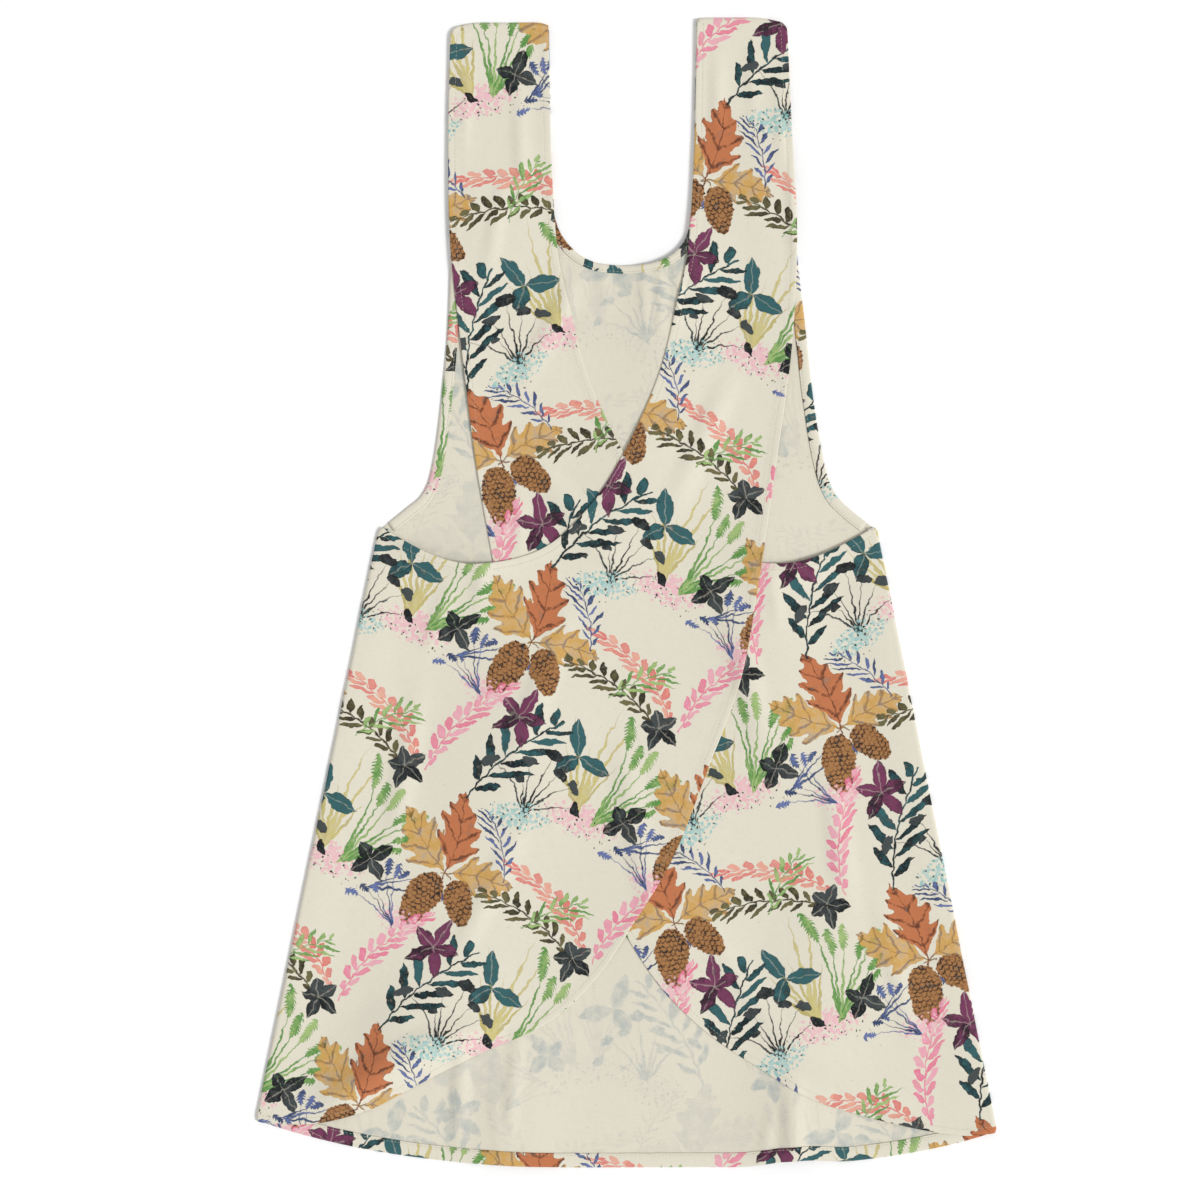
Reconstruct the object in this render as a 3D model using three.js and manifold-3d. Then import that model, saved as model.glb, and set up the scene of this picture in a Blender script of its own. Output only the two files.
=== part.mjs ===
// A cross back apron lying flat on its front, seen from behind. Millimetres, +Z up.
// The front panel lies face down on the surface. Two back panels lie over it: each is cut in one
// with a strap, crosses the back and is joined to the front at the opposite shoulder.
// The origin is at the surface, under the middle of the apron, and +Y points to the shoulders.
import * as THREE from "three";
import { mergeVertices } from "three/addons/utils/BufferGeometryUtils.js";
import Module from "manifold-3d";

const wasm = await Module();
wasm.setup();

// Cut of the apron as it lies
const bodyLength = 914; // right shoulder fold to the lowest point of the hem
const hemWidth = 590; // corner to corner of the skirt
const chestWidth = 396; // underarm to underarm
const chestShift = 1; // the chest lies this far to the right of the skirt's middle
const armholeDepth = 405; // shoulder fold to underarm
const neckWidth = 118; // between the straps
const neckShift = -3; // the neck lies this far to the right of the skirt's middle
const neckDepth = 197; // shoulder fold to the front neckline
const leftStrapWidth = 78;
const rightStrapWidth = 72;
const leftShoulderDrop = 4; // the left shoulder fold lies this far below the right one
const strapLength = 160; // right shoulder fold to the foot of the straps, where the panels begin
const shoulderRound = 9; // radius of the outer corner of a strap at its fold
const leftCornerRise = 37; // the skirt's left corner above the lowest point of the hem
const rightCornerRise = 28;
const leftHemPower = 2.7; // how squarely the hem's curve turns up towards its corner
const rightHemPower = 3.4;
const hemDent = 4; // where the fold at the hem draws its edge up

// Cloth and sewing
const clothThickness = 1;
const layerGap = 0.3; // clearance between two layers of cloth
const neckTurn = 6; // width of the turned edge at the neck
const armholeTurn = 8;
const hemTurn = 11;
const rollReach = 2.6; // how far the roll of cloth at a side or shoulder stands out

// How finely the cloth is faceted
const drapeStep = 27; // grid of the draped sheets
const edgeStep = 13; // spacing of the points along a cut edge
const rollSegments = 8;
const cornerSegments = 4;

const top = bodyLength / 2;
const bottom = -bodyLength / 2;
const layer = clothThickness + layerGap;
const backLevel = 2 * layer; // underside of a back panel, over the front panel and its turned edges
const rollHeight = backLevel + clothThickness;
const sideInset = rollReach + layerGap;

// Fixed points of the outline, as it is seen from above
const left = {
  side: -1,
  shoulder: top - leftShoulderDrop,
  strapInner: neckShift - neckWidth / 2,
  strapOuter: neckShift - neckWidth / 2 - leftStrapWidth,
  underarm: new THREE.Vector2(chestShift - chestWidth / 2, top - armholeDepth),
  corner: new THREE.Vector2(-hemWidth / 2, bottom + leftCornerRise),
};
const right = {
  side: 1,
  shoulder: top,
  strapInner: neckShift + neckWidth / 2,
  strapOuter: neckShift + neckWidth / 2 + rightStrapWidth,
  underarm: new THREE.Vector2(chestShift + chestWidth / 2, top - armholeDepth),
  corner: new THREE.Vector2(hemWidth / 2, bottom + rightCornerRise),
};

// Front armhole edge: share of the armhole depth below the shoulder, and share of the way out
// from the strap's outer edge to the underarm
const armholeRows = [
  { down: 0.25, left: 0.01, right: 0.03 },
  { down: 0.45, left: -0.01, right: 0.1 },
  { down: 0.6, left: 0.03, right: 0.2 },
  { down: 0.75, left: 0.13, right: 0.3 },
  { down: 0.87, left: 0.25, right: 0.42 },
  { down: 0.93, left: 0.39, right: 0.54 },
  { down: 0.965, left: 0.67, right: 0.73 },
  { down: 1, left: 1, right: 1 },
];

// Front neckline: share of the neck depth, and share of the neck width from the left strap
const neckRows = [
  { down: 0.49, across: 0.012 },
  { down: 0.73, across: 0.024 },
  { down: 0.82, across: 0.05 },
  { down: 0.9, across: 0.112 },
  { down: 0.975, across: 0.254 },
  { down: 1, across: 0.424 },
  { down: 1, across: 0.614 },
  { down: 0.975, across: 0.783 },
  { down: 0.92, across: 0.898 },
  { down: 0.835, across: 0.953 },
  { down: 0.65, across: 0.973 },
  { down: 0.49, across: 0.986 },
];

// Neck and armhole edge of a back panel: share of the armhole depth below the shoulder, and share
// of the way from the strap's inner edge to the underarm of the other side
const crossRows = [
  { down: 0.25, across: 0.008 },
  { down: 0.45, across: 0.028 },
  { down: 0.56, across: 0.065 },
  { down: 0.7, across: 0.122 },
  { down: 0.85, across: 0.23 },
  { down: 0.96, across: 0.345 },
  { down: 1.04, across: 0.49 },
  { down: 1.07, across: 0.68 },
  { down: 1.055, across: 0.83 },
  { down: 1, across: 1 },
];

// Wrap edge of a back panel, from the strap's outer edge round to the skirt's corner: share of the
// drop from shoulder to corner, and share of the way across for the left panel and the right one
const wrapRows = [
  { down: 0.1, left: -0.008, right: -0.004 },
  { down: 0.2, left: -0.018, right: 0 },
  { down: 0.3, left: -0.008, right: 0.022 },
  { down: 0.4, left: 0.02, right: 0.048 },
  { down: 0.5, left: 0.051, right: 0.084 },
  { down: 0.6, left: 0.089, right: 0.118 },
  { down: 0.68, left: 0.15, right: 0.18 },
  { down: 0.76, left: 0.216, right: 0.247 },
  { down: 0.82, left: 0.291, right: 0.32 },
  { down: 0.87, left: 0.361, right: 0.389 },
  { down: 0.91, left: 0.452, right: 0.472 },
  { down: 0.94, left: 0.59, right: 0.562 },
  { down: 0.97, left: 0.713, right: 0.668 },
  { down: 0.99, left: 0.795, right: 0.8 },
  { down: 1.002, left: 0.9, right: 0.93 },
  { down: 1, left: 1, right: 1 },
];

// Soft folds, which all the layers share, so that they lie closely on one another. x is a share of
// half the hem width and y of half the body length, turn is the fold's direction in degrees from
// +X, long and wide are its half length and half width as shares of the body length, and rise is
// its height in millimetres. The first one draws up the edge of the hem.
const folds = [
  { x: 0.46, y: -0.88, turn: 88, long: 0.16, wide: 0.05, rise: 6.5 },
  { x: -0.3, y: -0.95, turn: 84, long: 0.13, wide: 0.05, rise: 4.5 },
  { x: -0.6, y: -0.74, turn: 28, long: 0.13, wide: 0.07, rise: 7 },
  { x: 0.58, y: -0.62, turn: -50, long: 0.12, wide: 0.06, rise: 4.5 },
  { x: 0.12, y: -0.58, turn: 96, long: 0.17, wide: 0.08, rise: 4 },
  { x: -0.34, y: -0.34, turn: 74, long: 0.18, wide: 0.08, rise: 5 },
  { x: 0.42, y: -0.12, turn: 100, long: 0.17, wide: 0.08, rise: 4.5 },
  { x: -0.46, y: 0.07, turn: -8, long: 0.1, wide: 0.06, rise: 6 },
  { x: 0.48, y: 0.08, turn: 80, long: 0.11, wide: 0.06, rise: 5 },
  { x: 0.02, y: 0.2, turn: 66, long: 0.16, wide: 0.06, rise: 3.5 },
  { x: 0.11, y: 0.5, turn: 86, long: 0.11, wide: 0.05, rise: 5 },
  { x: 0.36, y: 0.74, turn: 93, long: 0.11, wide: 0.045, rise: 4 },
  { x: -0.34, y: 0.66, turn: 87, long: 0.12, wide: 0.045, rise: 3.5 },
];

// How the layers settle
const flatBorder = 1.6 * drapeStep; // flat along the seams and the shoulder folds
const settleRun = 55; // and rising to the full folds over this distance
const climbStart = 1.5 * drapeStep; // the left back panel is fully up this far from the right one
const climbRun = 34; // and it comes down to the front panel over this distance

const printedSide = new THREE.MeshStandardMaterial({ color: 0xdad4c0, roughness: 0.92, metalness: 0 });
const wrongSide = new THREE.MeshStandardMaterial({ color: 0xdfd8c6, roughness: 0.95, metalness: 0 });
const apron = new THREE.Group();

const smooth = (t) => {
  const s = Math.min(1, Math.max(0, t));
  return s * s * (3 - 2 * s);
};

// 1 at the middle of a fold and 0 from its edge on
const bump = (t) => Math.max(0, 1 - t * t) ** 2;

// Points at even spacing along a smooth curve through the given ones
function evenly(points) {
  const curve = new THREE.SplineCurve(points);
  return curve.getSpacedPoints(Math.ceil(curve.getLength() / edgeStep));
}

// The line of a side seam's stitching, inside the roll of cloth
function sideLine(half) {
  const along = half.corner.clone().sub(half.underarm).normalize();
  const outward = new THREE.Vector2(-along.y, along.x).multiplyScalar(half.side);
  const inset = outward.clone().multiplyScalar(-sideInset);
  return { outward, from: half.underarm.clone().add(inset), to: half.corner.clone().add(inset) };
}

// The point at the given shares of the way across and down from one point to another
function between(from, to, across, down) {
  return new THREE.Vector2(
    THREE.MathUtils.lerp(from.x, to.x, across),
    THREE.MathUtils.lerp(from.y, to.y, down),
  );
}

const strapTop = (half) => half.shoulder - sideInset;
const innerShoulder = (half) => new THREE.Vector2(half.strapInner, half.shoulder);
const outerShoulder = (half) => new THREE.Vector2(half.strapOuter, half.shoulder);
const innerTop = (half) => new THREE.Vector2(half.strapInner, strapTop(half));
const outerTop = (half) => new THREE.Vector2(half.strapOuter, strapTop(half) - shoulderRound);

// Front armhole edge, from the shoulder to the underarm
function frontArmhole(half, column) {
  const from = outerShoulder(half);
  const to = sideLine(half).from;
  return evenly([outerTop(half), ...armholeRows.map((row) => between(from, to, row[column], row.down))]);
}

// Front neckline, from the left strap to the right one
function neckline() {
  const points = neckRows.map((row) => {
    const from = innerShoulder(left).lerp(innerShoulder(right), row.across);
    return between(from, new THREE.Vector2(from.x, top - neckDepth), 0, row.down);
  });
  return evenly([innerTop(left), ...points, innerTop(right)]);
}

// Neck and armhole edge of a back panel, from the shoulder that it hangs on to its own underarm
function crossEdge(own, far) {
  const from = innerShoulder(far);
  const to = sideLine(own).from;
  return evenly([innerTop(far), ...crossRows.map((row) => between(from, to, row.across, row.down))]);
}

// Wrap edge of a back panel, from the shoulder that it hangs on round to its own corner of the skirt
function wrapEdge(own, far, column) {
  const from = outerShoulder(far);
  const to = sideLine(own).to;
  return evenly([outerTop(far), ...wrapRows.map((row) => between(from, to, row[column], row.down))]);
}

// The rounded outer corner of a strap, from its fold to its outer edge
function strapCorner(half) {
  const corner = new THREE.EllipseCurve(
    half.strapOuter - half.side * shoulderRound,
    strapTop(half) - shoulderRound,
    shoulderRound,
    shoulderRound,
    Math.PI / 2,
    half.side > 0 ? 0 : Math.PI,
    half.side > 0,
  );
  return corner.getPoints(cornerSegments).slice(0, -1);
}

// Bottom edge of the front panel, from the left corner to the right one
function hemEdge() {
  const from = sideLine(left).to;
  const to = sideLine(right).to;
  const [fold] = folds;
  const count = Math.ceil((to.x - from.x) / edgeStep);
  return Array.from({ length: count + 1 }, (_, i) => {
    const x = THREE.MathUtils.lerp(from.x, to.x, i / count);
    const share = x < 0 ? x / from.x : x / to.x;
    const power = x < 0 ? leftHemPower : rightHemPower;
    const rise = x < 0 ? leftCornerRise : rightCornerRise;
    const across = (x - fold.x * (hemWidth / 2)) / (fold.wide * bodyLength);
    const dent = hemDent * bump(across);
    return new THREE.Vector2(x, bottom + rise * share ** power + dent);
  });
}

const reversed = (points) => [...points].reverse();

// One closed outline out of several edges, with no point twice
function joined(...runs) {
  const points = runs.flat();
  return points.filter((point, i) => point.distanceTo(points[(i + 1) % points.length]) > 0.01);
}

const edges = {
  neck: neckline(),
  leftArmhole: frontArmhole(left, "left"),
  rightArmhole: frontArmhole(right, "right"),
  hem: hemEdge(),
  leftCross: crossEdge(left, right),
  leftWrap: wrapEdge(left, right, "left"),
  rightCross: crossEdge(right, left),
  rightWrap: wrapEdge(right, left, "right"),
};

const outlines = {
  front: joined(
    edges.neck,
    strapCorner(right),
    edges.rightArmhole,
    reversed(edges.hem),
    reversed(edges.leftArmhole),
    reversed(strapCorner(left)),
  ),
  leftBack: joined(edges.leftCross, reversed(edges.leftWrap), reversed(strapCorner(right))),
  rightBack: joined(edges.rightCross, reversed(edges.rightWrap), reversed(strapCorner(left))),
};

// Distance from (x, y) to the straight line between two points
function lineDistance(a, b, x, y) {
  const ex = b.x - a.x;
  const ey = b.y - a.y;
  const t = THREE.MathUtils.clamp(((x - a.x) * ex + (y - a.y) * ey) / (ex * ex + ey * ey), 0, 1);
  return Math.hypot(x - a.x - t * ex, y - a.y - t * ey);
}

// Distance from (x, y) to an outline, negative inside it
function outlineDistance(outline, x, y) {
  let nearest = Infinity;
  let inside = false;
  outline.forEach((a, i) => {
    const b = outline[(i + 1) % outline.length];
    nearest = Math.min(nearest, lineDistance(a, b, x, y));
    if (a.y > y !== b.y > y && x < a.x + ((y - a.y) / (b.y - a.y)) * (b.x - a.x)) inside = !inside;
  });
  return inside ? -nearest : nearest;
}

// 0 along the side seams and shoulder seams, 1 where the cloth is free to fold
function freedom(x, y) {
  const seams = [left, right].map((half) => {
    const line = sideLine(half);
    return lineDistance(line.from, line.to, x, y);
  });
  const nearest = Math.min(...seams, strapTop(left) - y);
  return smooth((nearest - flatBorder) / settleRun);
}

// Height of the lowest layer above the surface
function drape(x, y) {
  let height = 0;
  for (const fold of folds) {
    const turn = THREE.MathUtils.degToRad(fold.turn);
    const dx = x - fold.x * (hemWidth / 2);
    const dy = y - fold.y * (bodyLength / 2);
    const along = (dx * Math.cos(turn) + dy * Math.sin(turn)) / (fold.long * bodyLength);
    const across = (dy * Math.cos(turn) - dx * Math.sin(turn)) / (fold.wide * bodyLength);
    height += fold.rise * bump(along) * bump(across);
  }
  return height * freedom(x, y);
}

// Undersides of the layers. Each is clear of the one below by the same gap.
const facingLevel = (x, y) => drape(x, y) + layer;
const rightBackLevel = (x, y) => drape(x, y) + backLevel;
const leftBackLevel = (x, y) => {
  const away = outlineDistance(outlines.rightBack, x, y) - climbStart;
  return drape(x, y) + backLevel + layer * (1 - smooth(away / climbRun));
};

// A closed geometry as a solid that can be cut
function solidOf(geometry) {
  const bare = geometry.index ? geometry.toNonIndexed() : geometry.clone();
  bare.deleteAttribute("normal");
  bare.deleteAttribute("uv");
  const merged = mergeVertices(bare, 1e-4);
  return new wasm.Manifold(
    new wasm.Mesh({
      numProp: 3,
      vertProperties: merged.attributes.position.array,
      triVerts: new Uint32Array(merged.index.array),
    }),
  );
}

// A solid as a geometry with flat facets
function geometryOf(solid) {
  const mesh = solid.getMesh();
  const geometry = new THREE.BufferGeometry();
  geometry.setAttribute("position", new THREE.BufferAttribute(Float32Array.from(mesh.vertProperties), 3));
  geometry.setIndex(new THREE.BufferAttribute(Uint32Array.from(mesh.triVerts), 1));
  const flat = geometry.toNonIndexed();
  flat.computeVertexNormals();
  return flat;
}

// A rectangle of cloth that covers the whole apron, draped so that its underside lies at level.
// Every sheet has the same grid, so that layers one above the other never cross.
function drapedSheet(level) {
  const columns = Math.ceil(hemWidth / drapeStep) + 2;
  const rows = Math.ceil(bodyLength / drapeStep) + 2;
  const positions = [];
  for (const lift of [0, clothThickness])
    for (let j = 0; j <= rows; j++)
      for (let i = 0; i <= columns; i++) {
        const x = (i - columns / 2) * drapeStep;
        const y = (j - rows / 2) * drapeStep;
        positions.push(x, y, level(x, y) + lift);
      }
  const count = (columns + 1) * (rows + 1);
  const at = (i, j, upper) => j * (columns + 1) + i + (upper ? count : 0);
  const faces = [];
  for (let j = 0; j < rows; j++)
    for (let i = 0; i < columns; i++) {
      const corners = [at(i, j), at(i + 1, j), at(i + 1, j + 1), at(i, j + 1)];
      const [a, b, c, d] = corners;
      faces.push(a, c, b, a, d, c);
      const [e, f, g, h] = corners.map((corner) => corner + count);
      faces.push(e, f, g, e, g, h);
    }
  const wall = (a, b, c, d) => faces.push(a, b, c, a, c, d);
  for (let i = 0; i < columns; i++) {
    wall(at(i, 0), at(i + 1, 0), at(i + 1, 0, true), at(i, 0, true));
    wall(at(i + 1, rows), at(i, rows), at(i, rows, true), at(i + 1, rows, true));
  }
  for (let j = 0; j < rows; j++) {
    wall(at(0, j + 1), at(0, j), at(0, j, true), at(0, j + 1, true));
    wall(at(columns, j), at(columns, j + 1), at(columns, j + 1, true), at(columns, j, true));
  }
  const geometry = new THREE.BufferGeometry();
  geometry.setAttribute("position", new THREE.Float32BufferAttribute(positions, 3));
  geometry.setIndex(faces);
  return solidOf(geometry);
}

// A prism over an outline, taller than the cloth can lie, which cuts a shape out of a sheet
function cutter(outline) {
  const points = THREE.ShapeUtils.isClockWise(outline) ? reversed(outline) : outline;
  const reach = folds.reduce((height, fold) => height + fold.rise, rollHeight + layer);
  const shape = new THREE.Shape(points);
  const prism = new THREE.ExtrudeGeometry(shape, { depth: 2 * reach, bevelEnabled: false });
  prism.translate(0, 0, -reach);
  return solidOf(prism);
}

function addCloth(name, level, material, ...cutters) {
  const cloth = cutters.reduce((sheet, outline) => sheet.intersect(cutter(outline)), drapedSheet(level));
  addMesh(name, geometryOf(cloth), material);
}

function addMesh(name, geometry, material) {
  const mesh = new THREE.Mesh(geometry, material);
  mesh.name = name;
  apron.add(mesh);
  return mesh;
}

// Strip of the given width along one side of an edge: the left of its direction, or the right
function turnedEdge(edge, width, side) {
  const inner = edge.map((point, i) => {
    const before = edge[Math.max(0, i - 1)];
    const after = edge[Math.min(edge.length - 1, i + 1)];
    const along = after.clone().sub(before).normalize();
    return new THREE.Vector2(point.x - side * along.y * width, point.y + side * along.x * width);
  });
  return [...edge, ...reversed(inner)];
}

// Rectangle between two corners
function rectangle(fromX, fromY, toX, toY) {
  return [
    new THREE.Vector2(fromX, fromY),
    new THREE.Vector2(toX, fromY),
    new THREE.Vector2(toX, toY),
    new THREE.Vector2(fromX, toY),
  ];
}

// Each strap is cut in one with its panel. They are divided at the foot of the strap.
const foot = top - strapLength;
const skirtRegion = rectangle(-bodyLength, -bodyLength, bodyLength, foot - layerGap / 2);
const leftStrapRegion = rectangle(-bodyLength, foot + layerGap / 2, neckShift, bodyLength);
const rightStrapRegion = rectangle(neckShift, foot + layerGap / 2, bodyLength, bodyLength);

// The front panel lies wrong side up, and its edges are turned onto that side
function addFront() {
  addCloth("front_panel", drape, wrongSide, outlines.front, skirtRegion);
  addCloth("left_front_strap", drape, wrongSide, outlines.front, leftStrapRegion);
  addCloth("right_front_strap", drape, wrongSide, outlines.front, rightStrapRegion);
  addTurnedEdge("neck_facing", turnedEdge(edges.neck, neckTurn, -1));
  addTurnedEdge("left_armhole_facing", turnedEdge(edges.leftArmhole, armholeTurn, 1));
  addTurnedEdge("right_armhole_facing", turnedEdge(edges.rightArmhole, armholeTurn, -1));
  addTurnedEdge("front_hem", turnedEdge(edges.hem, hemTurn, 1));
}

function addTurnedEdge(name, strip) {
  addCloth(name, facingLevel, printedSide, strip, outlines.front);
}

function addBacks() {
  addCloth("right_back_panel", rightBackLevel, printedSide, outlines.rightBack, skirtRegion);
  addCloth("left_back_strap", rightBackLevel, printedSide, outlines.rightBack, leftStrapRegion);
  addCloth("left_back_panel", leftBackLevel, printedSide, outlines.leftBack, skirtRegion);
  addCloth("right_back_strap", leftBackLevel, printedSide, outlines.leftBack, rightStrapRegion);
}

// Section of the roll of cloth where the front and a back panel are joined
function rollSection() {
  const section = new THREE.Shape();
  const middle = rollHeight / 2;
  section.absellipse(0, middle, rollReach, middle, -Math.PI / 2, Math.PI / 2, false);
  section.lineTo(0, rollHeight - clothThickness);
  section.absellipse(
    0,
    middle,
    rollReach - clothThickness,
    middle - clothThickness,
    Math.PI / 2,
    -Math.PI / 2,
    true,
  );
  return section;
}

// A straight roll between two points, bulging outward
function addRoll(name, from, to, outward) {
  const geometry = new THREE.ExtrudeGeometry(rollSection(), {
    depth: from.distanceTo(to),
    bevelEnabled: false,
    curveSegments: rollSegments,
  });
  const out = new THREE.Vector3(outward.x, outward.y, 0);
  const up = new THREE.Vector3(0, 0, 1);
  const along = out.clone().cross(up);
  const start = along.dot(new THREE.Vector3(to.x - from.x, to.y - from.y, 0)) > 0 ? from : to;
  const roll = addMesh(name, geometry, printedSide);
  roll.quaternion.setFromRotationMatrix(new THREE.Matrix4().makeBasis(out, up, along));
  roll.position.set(start.x + out.x * layerGap, start.y + out.y * layerGap, 0);
}

function addSideSeam(name, half) {
  const line = sideLine(half);
  addRoll(name, line.from, line.to, line.outward);
}

function addShoulderSeam(name, half) {
  const y = strapTop(half);
  const inner = new THREE.Vector2(half.strapInner, y);
  const outer = new THREE.Vector2(half.strapOuter - half.side * shoulderRound, y);
  addRoll(name, inner, outer, new THREE.Vector2(0, 1));
}

addFront();
addBacks();
addSideSeam("left_side_seam", left);
addSideSeam("right_side_seam", right);
addShoulderSeam("left_shoulder_seam", left);
addShoulderSeam("right_shoulder_seam", right);

export default apron;
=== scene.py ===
"""A cross back apron of printed cotton canvas, laid flat and seen from behind.

Lengths are in metres unless a name says otherwise. Each piece of cloth takes its outline and its
height from the frame's nodes, and gets fine wrinkles, hems, seams and stitches of its own.
"""

import math
from functools import cache
from typing import NamedTuple

import bmesh
import bpy
import numpy as np
from bpy.props import FloatProperty, FloatVectorProperty, PointerProperty
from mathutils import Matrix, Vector, noise
from mathutils.bvhtree import BVHTree
from mathutils.geometry import delaunay_2d_cdt
from mathutils.kdtree import KDTree


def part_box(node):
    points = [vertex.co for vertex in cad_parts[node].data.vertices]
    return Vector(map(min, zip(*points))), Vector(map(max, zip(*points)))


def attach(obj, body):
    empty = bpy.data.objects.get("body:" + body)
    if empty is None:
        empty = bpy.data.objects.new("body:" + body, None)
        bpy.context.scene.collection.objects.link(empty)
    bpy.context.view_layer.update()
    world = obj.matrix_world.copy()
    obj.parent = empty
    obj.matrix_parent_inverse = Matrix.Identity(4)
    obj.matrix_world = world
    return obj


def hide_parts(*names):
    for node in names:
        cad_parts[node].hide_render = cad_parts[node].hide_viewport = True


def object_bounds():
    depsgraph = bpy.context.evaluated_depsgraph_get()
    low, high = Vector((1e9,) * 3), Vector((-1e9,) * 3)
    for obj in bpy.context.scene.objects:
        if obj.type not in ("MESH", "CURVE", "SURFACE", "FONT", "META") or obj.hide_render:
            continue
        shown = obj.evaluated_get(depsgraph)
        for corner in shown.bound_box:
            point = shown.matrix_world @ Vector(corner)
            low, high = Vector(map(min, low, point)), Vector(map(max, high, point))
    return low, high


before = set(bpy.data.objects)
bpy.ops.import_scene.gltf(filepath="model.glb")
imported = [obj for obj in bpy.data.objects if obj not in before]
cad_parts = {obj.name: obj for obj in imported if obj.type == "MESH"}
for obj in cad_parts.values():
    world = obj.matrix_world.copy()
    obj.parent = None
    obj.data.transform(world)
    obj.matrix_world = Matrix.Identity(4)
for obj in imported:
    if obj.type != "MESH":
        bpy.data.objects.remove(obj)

bl_info = {
    "name": "Cross Back Apron",
    "version": (1, 0, 0),
    "blender": (4, 5, 0),
    "location": "3D View > Sidebar > Apron",
    "description": "Makes a cross back apron of printed cotton canvas, laid flat",
    "category": "Add Mesh",
}

MM = 0.001
CAD_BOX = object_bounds()
BODY = "root"

# The nodes that are cut in one cloth, and how many layers of cloth lie under it
FRONT = ("front_panel", "left_front_strap", "right_front_strap")
RIGHT_BACK = ("right_back_panel", "left_back_strap")
LEFT_BACK = ("left_back_panel", "right_back_strap")
LAYER = {FRONT: 0, RIGHT_BACK: 1, LEFT_BACK: 2}
SEAMS = ("left_side_seam", "right_side_seam", "left_shoulder_seam", "right_shoulder_seam")

# Reading the frame
WELD = 1e-6  # corners this close are one
CUT_GAP = 1.0 * MM  # most that two nodes of one cloth lie apart
STRAIGHT = math.radians(0.3)  # less turn than this is a straight edge
CORNER = math.radians(32)  # more turn than this is a sharp corner
FACES_UP = 0.5  # a face whose normal rises more than this belongs to the top
LONG_EDGE = 25 * MM  # an edge of the frame longer than this is truly straight
SAMPLE = 6 * MM  # spacing of the height samples
MARGIN = 4  # in samples, on every side of the frame
BLUR = 11 * MM  # blur that takes the facets out of the heights
BLUR_REACH = 3.2  # in blurs, past which a sample has no weight
BARE = 1e-3  # less weight than this is a place without cloth

# How the layers lie on each other. Levels are over the underside of the lowest layer
NODE_WALL = 1.0 * MM  # thickness of the cloth in the frame
TURNED_TOP = 2.0 * MM  # top of the front's turned edges
TURNED_REACH = 12 * MM  # a back panel is held up this near the front's turned edges
REST_GAP = 0.35 * MM  # air between two layers that lie on each other
SETTLE = 34 * MM  # the layers close up over this length from a seam
HIGH_REACH = 3  # in samples, so that a blurred height still clears what it passes over
SEWN_REACH = 4.5 * MM  # an edge this near a seam is sewn
HELD_REACH = 5 * MM  # a layer has its node's height this near a seam
SMOOTH_REACH = 4 * MM  # the cloth has no wrinkles this near a seam
WRINKLE_RUN = 26 * MM  # and has their full height this much further on
WRINKLE_START = 0.8  # below 1, so that they start steeply there


class Wrinkle(NamedTuple):
    """A soft ridge in the cloth, with places and sizes in millimetres and its turn in degrees.

    It lifts the given layer and all those on top of it.
    """

    x: float
    y: float
    turn: float
    half_length: float
    half_width: float
    rise: float
    layer: int


WRINKLES = (
    Wrinkle(-132, -398, 88, 62, 10, 1.7, 0),
    Wrinkle(-90, -392, 84, 66, 9, 1.4, 0),
    Wrinkle(-104, -420, 95, 40, 5, 0.8, 0),
    Wrinkle(132, -424, 92, 52, 13, 2.4, 0),
    Wrinkle(112, -432, 82, 34, 7, 1.0, 0),
    Wrinkle(14, 236, 92, 34, 5, 1.0, 0),
    Wrinkle(27, 232, 90, 38, 5, 1.1, 0),
    Wrinkle(41, 238, 87, 34, 5.5, 1.1, 0),
    Wrinkle(56, 244, 84, 30, 5, 0.9, 0),
    Wrinkle(-18, 244, 96, 30, 6, 0.6, 0),
    Wrinkle(-85, 57, 91, 40, 6, 0.9, 0),
    Wrinkle(-100, 66, 97, 30, 5, 0.7, 0),
    Wrinkle(-184, -376, 25, 100, 24, 4.4, 2),
    Wrinkle(-180, -360, 25, 106, 44, 2.0, 2),
    Wrinkle(-216, -394, 34, 46, 15, 1.4, 2),
    Wrinkle(-126, -350, 14, 50, 16, 1.6, 2),
    Wrinkle(-146, 28, -9, 62, 22, 3.2, 2),
    Wrinkle(-116, 6, 84, 30, 8, 1.1, 2),
    Wrinkle(-150, -22, 70, 40, 10, 1.0, 1),
    Wrinkle(140, 22, 10, 60, 20, 2.4, 1),
    Wrinkle(118, -6, 98, 34, 8, 1.0, 1),
    Wrinkle(122, 372, 91, 60, 5, 1.1, 1),
    Wrinkle(132, 300, 94, 60, 6, 0.9, 1),
    Wrinkle(72, 392, 89, 52, 8, 1.2, 1),
    Wrinkle(100, 404, 93, 44, 7, 0.9, 1),
    Wrinkle(-128, 380, 88, 60, 6, 1.0, 1),
    Wrinkle(-84, 352, 92, 70, 8, 1.1, 1),
    Wrinkle(-104, 290, 80, 56, 9, 1.2, 1),
    Wrinkle(-60, 210, 62, 70, 12, 1.4, 0),
    Wrinkle(60, 120, 66, 86, 14, 1.7, 0),
    Wrinkle(-40, 60, 128, 80, 15, 1.4, 0),
    Wrinkle(96, -70, 104, 90, 16, 1.8, 0),
    Wrinkle(-70, -80, 70, 96, 15, 1.7, 0),
    Wrinkle(-176, -140, 80, 90, 14, 1.6, 0),
    Wrinkle(8, -190, 100, 96, 15, 1.6, 0),
    Wrinkle(168, -190, 98, 88, 15, 1.7, 0),
    Wrinkle(-110, -240, 64, 84, 13, 1.5, 0),
    Wrinkle(214, -300, 104, 80, 13, 1.5, 0),
    Wrinkle(92, -310, 128, 80, 14, 1.4, 0),
    Wrinkle(190, -396, 158, 62, 14, 2.0, 1),
)
RISE_SCALE = 1.6  # all the rises in the table are multiplied by this
GRAIN_RELIEF = 0.4 * MM  # height of the uneven lie of the whole cloth
GRAIN_SIZE = 38 * MM


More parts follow.
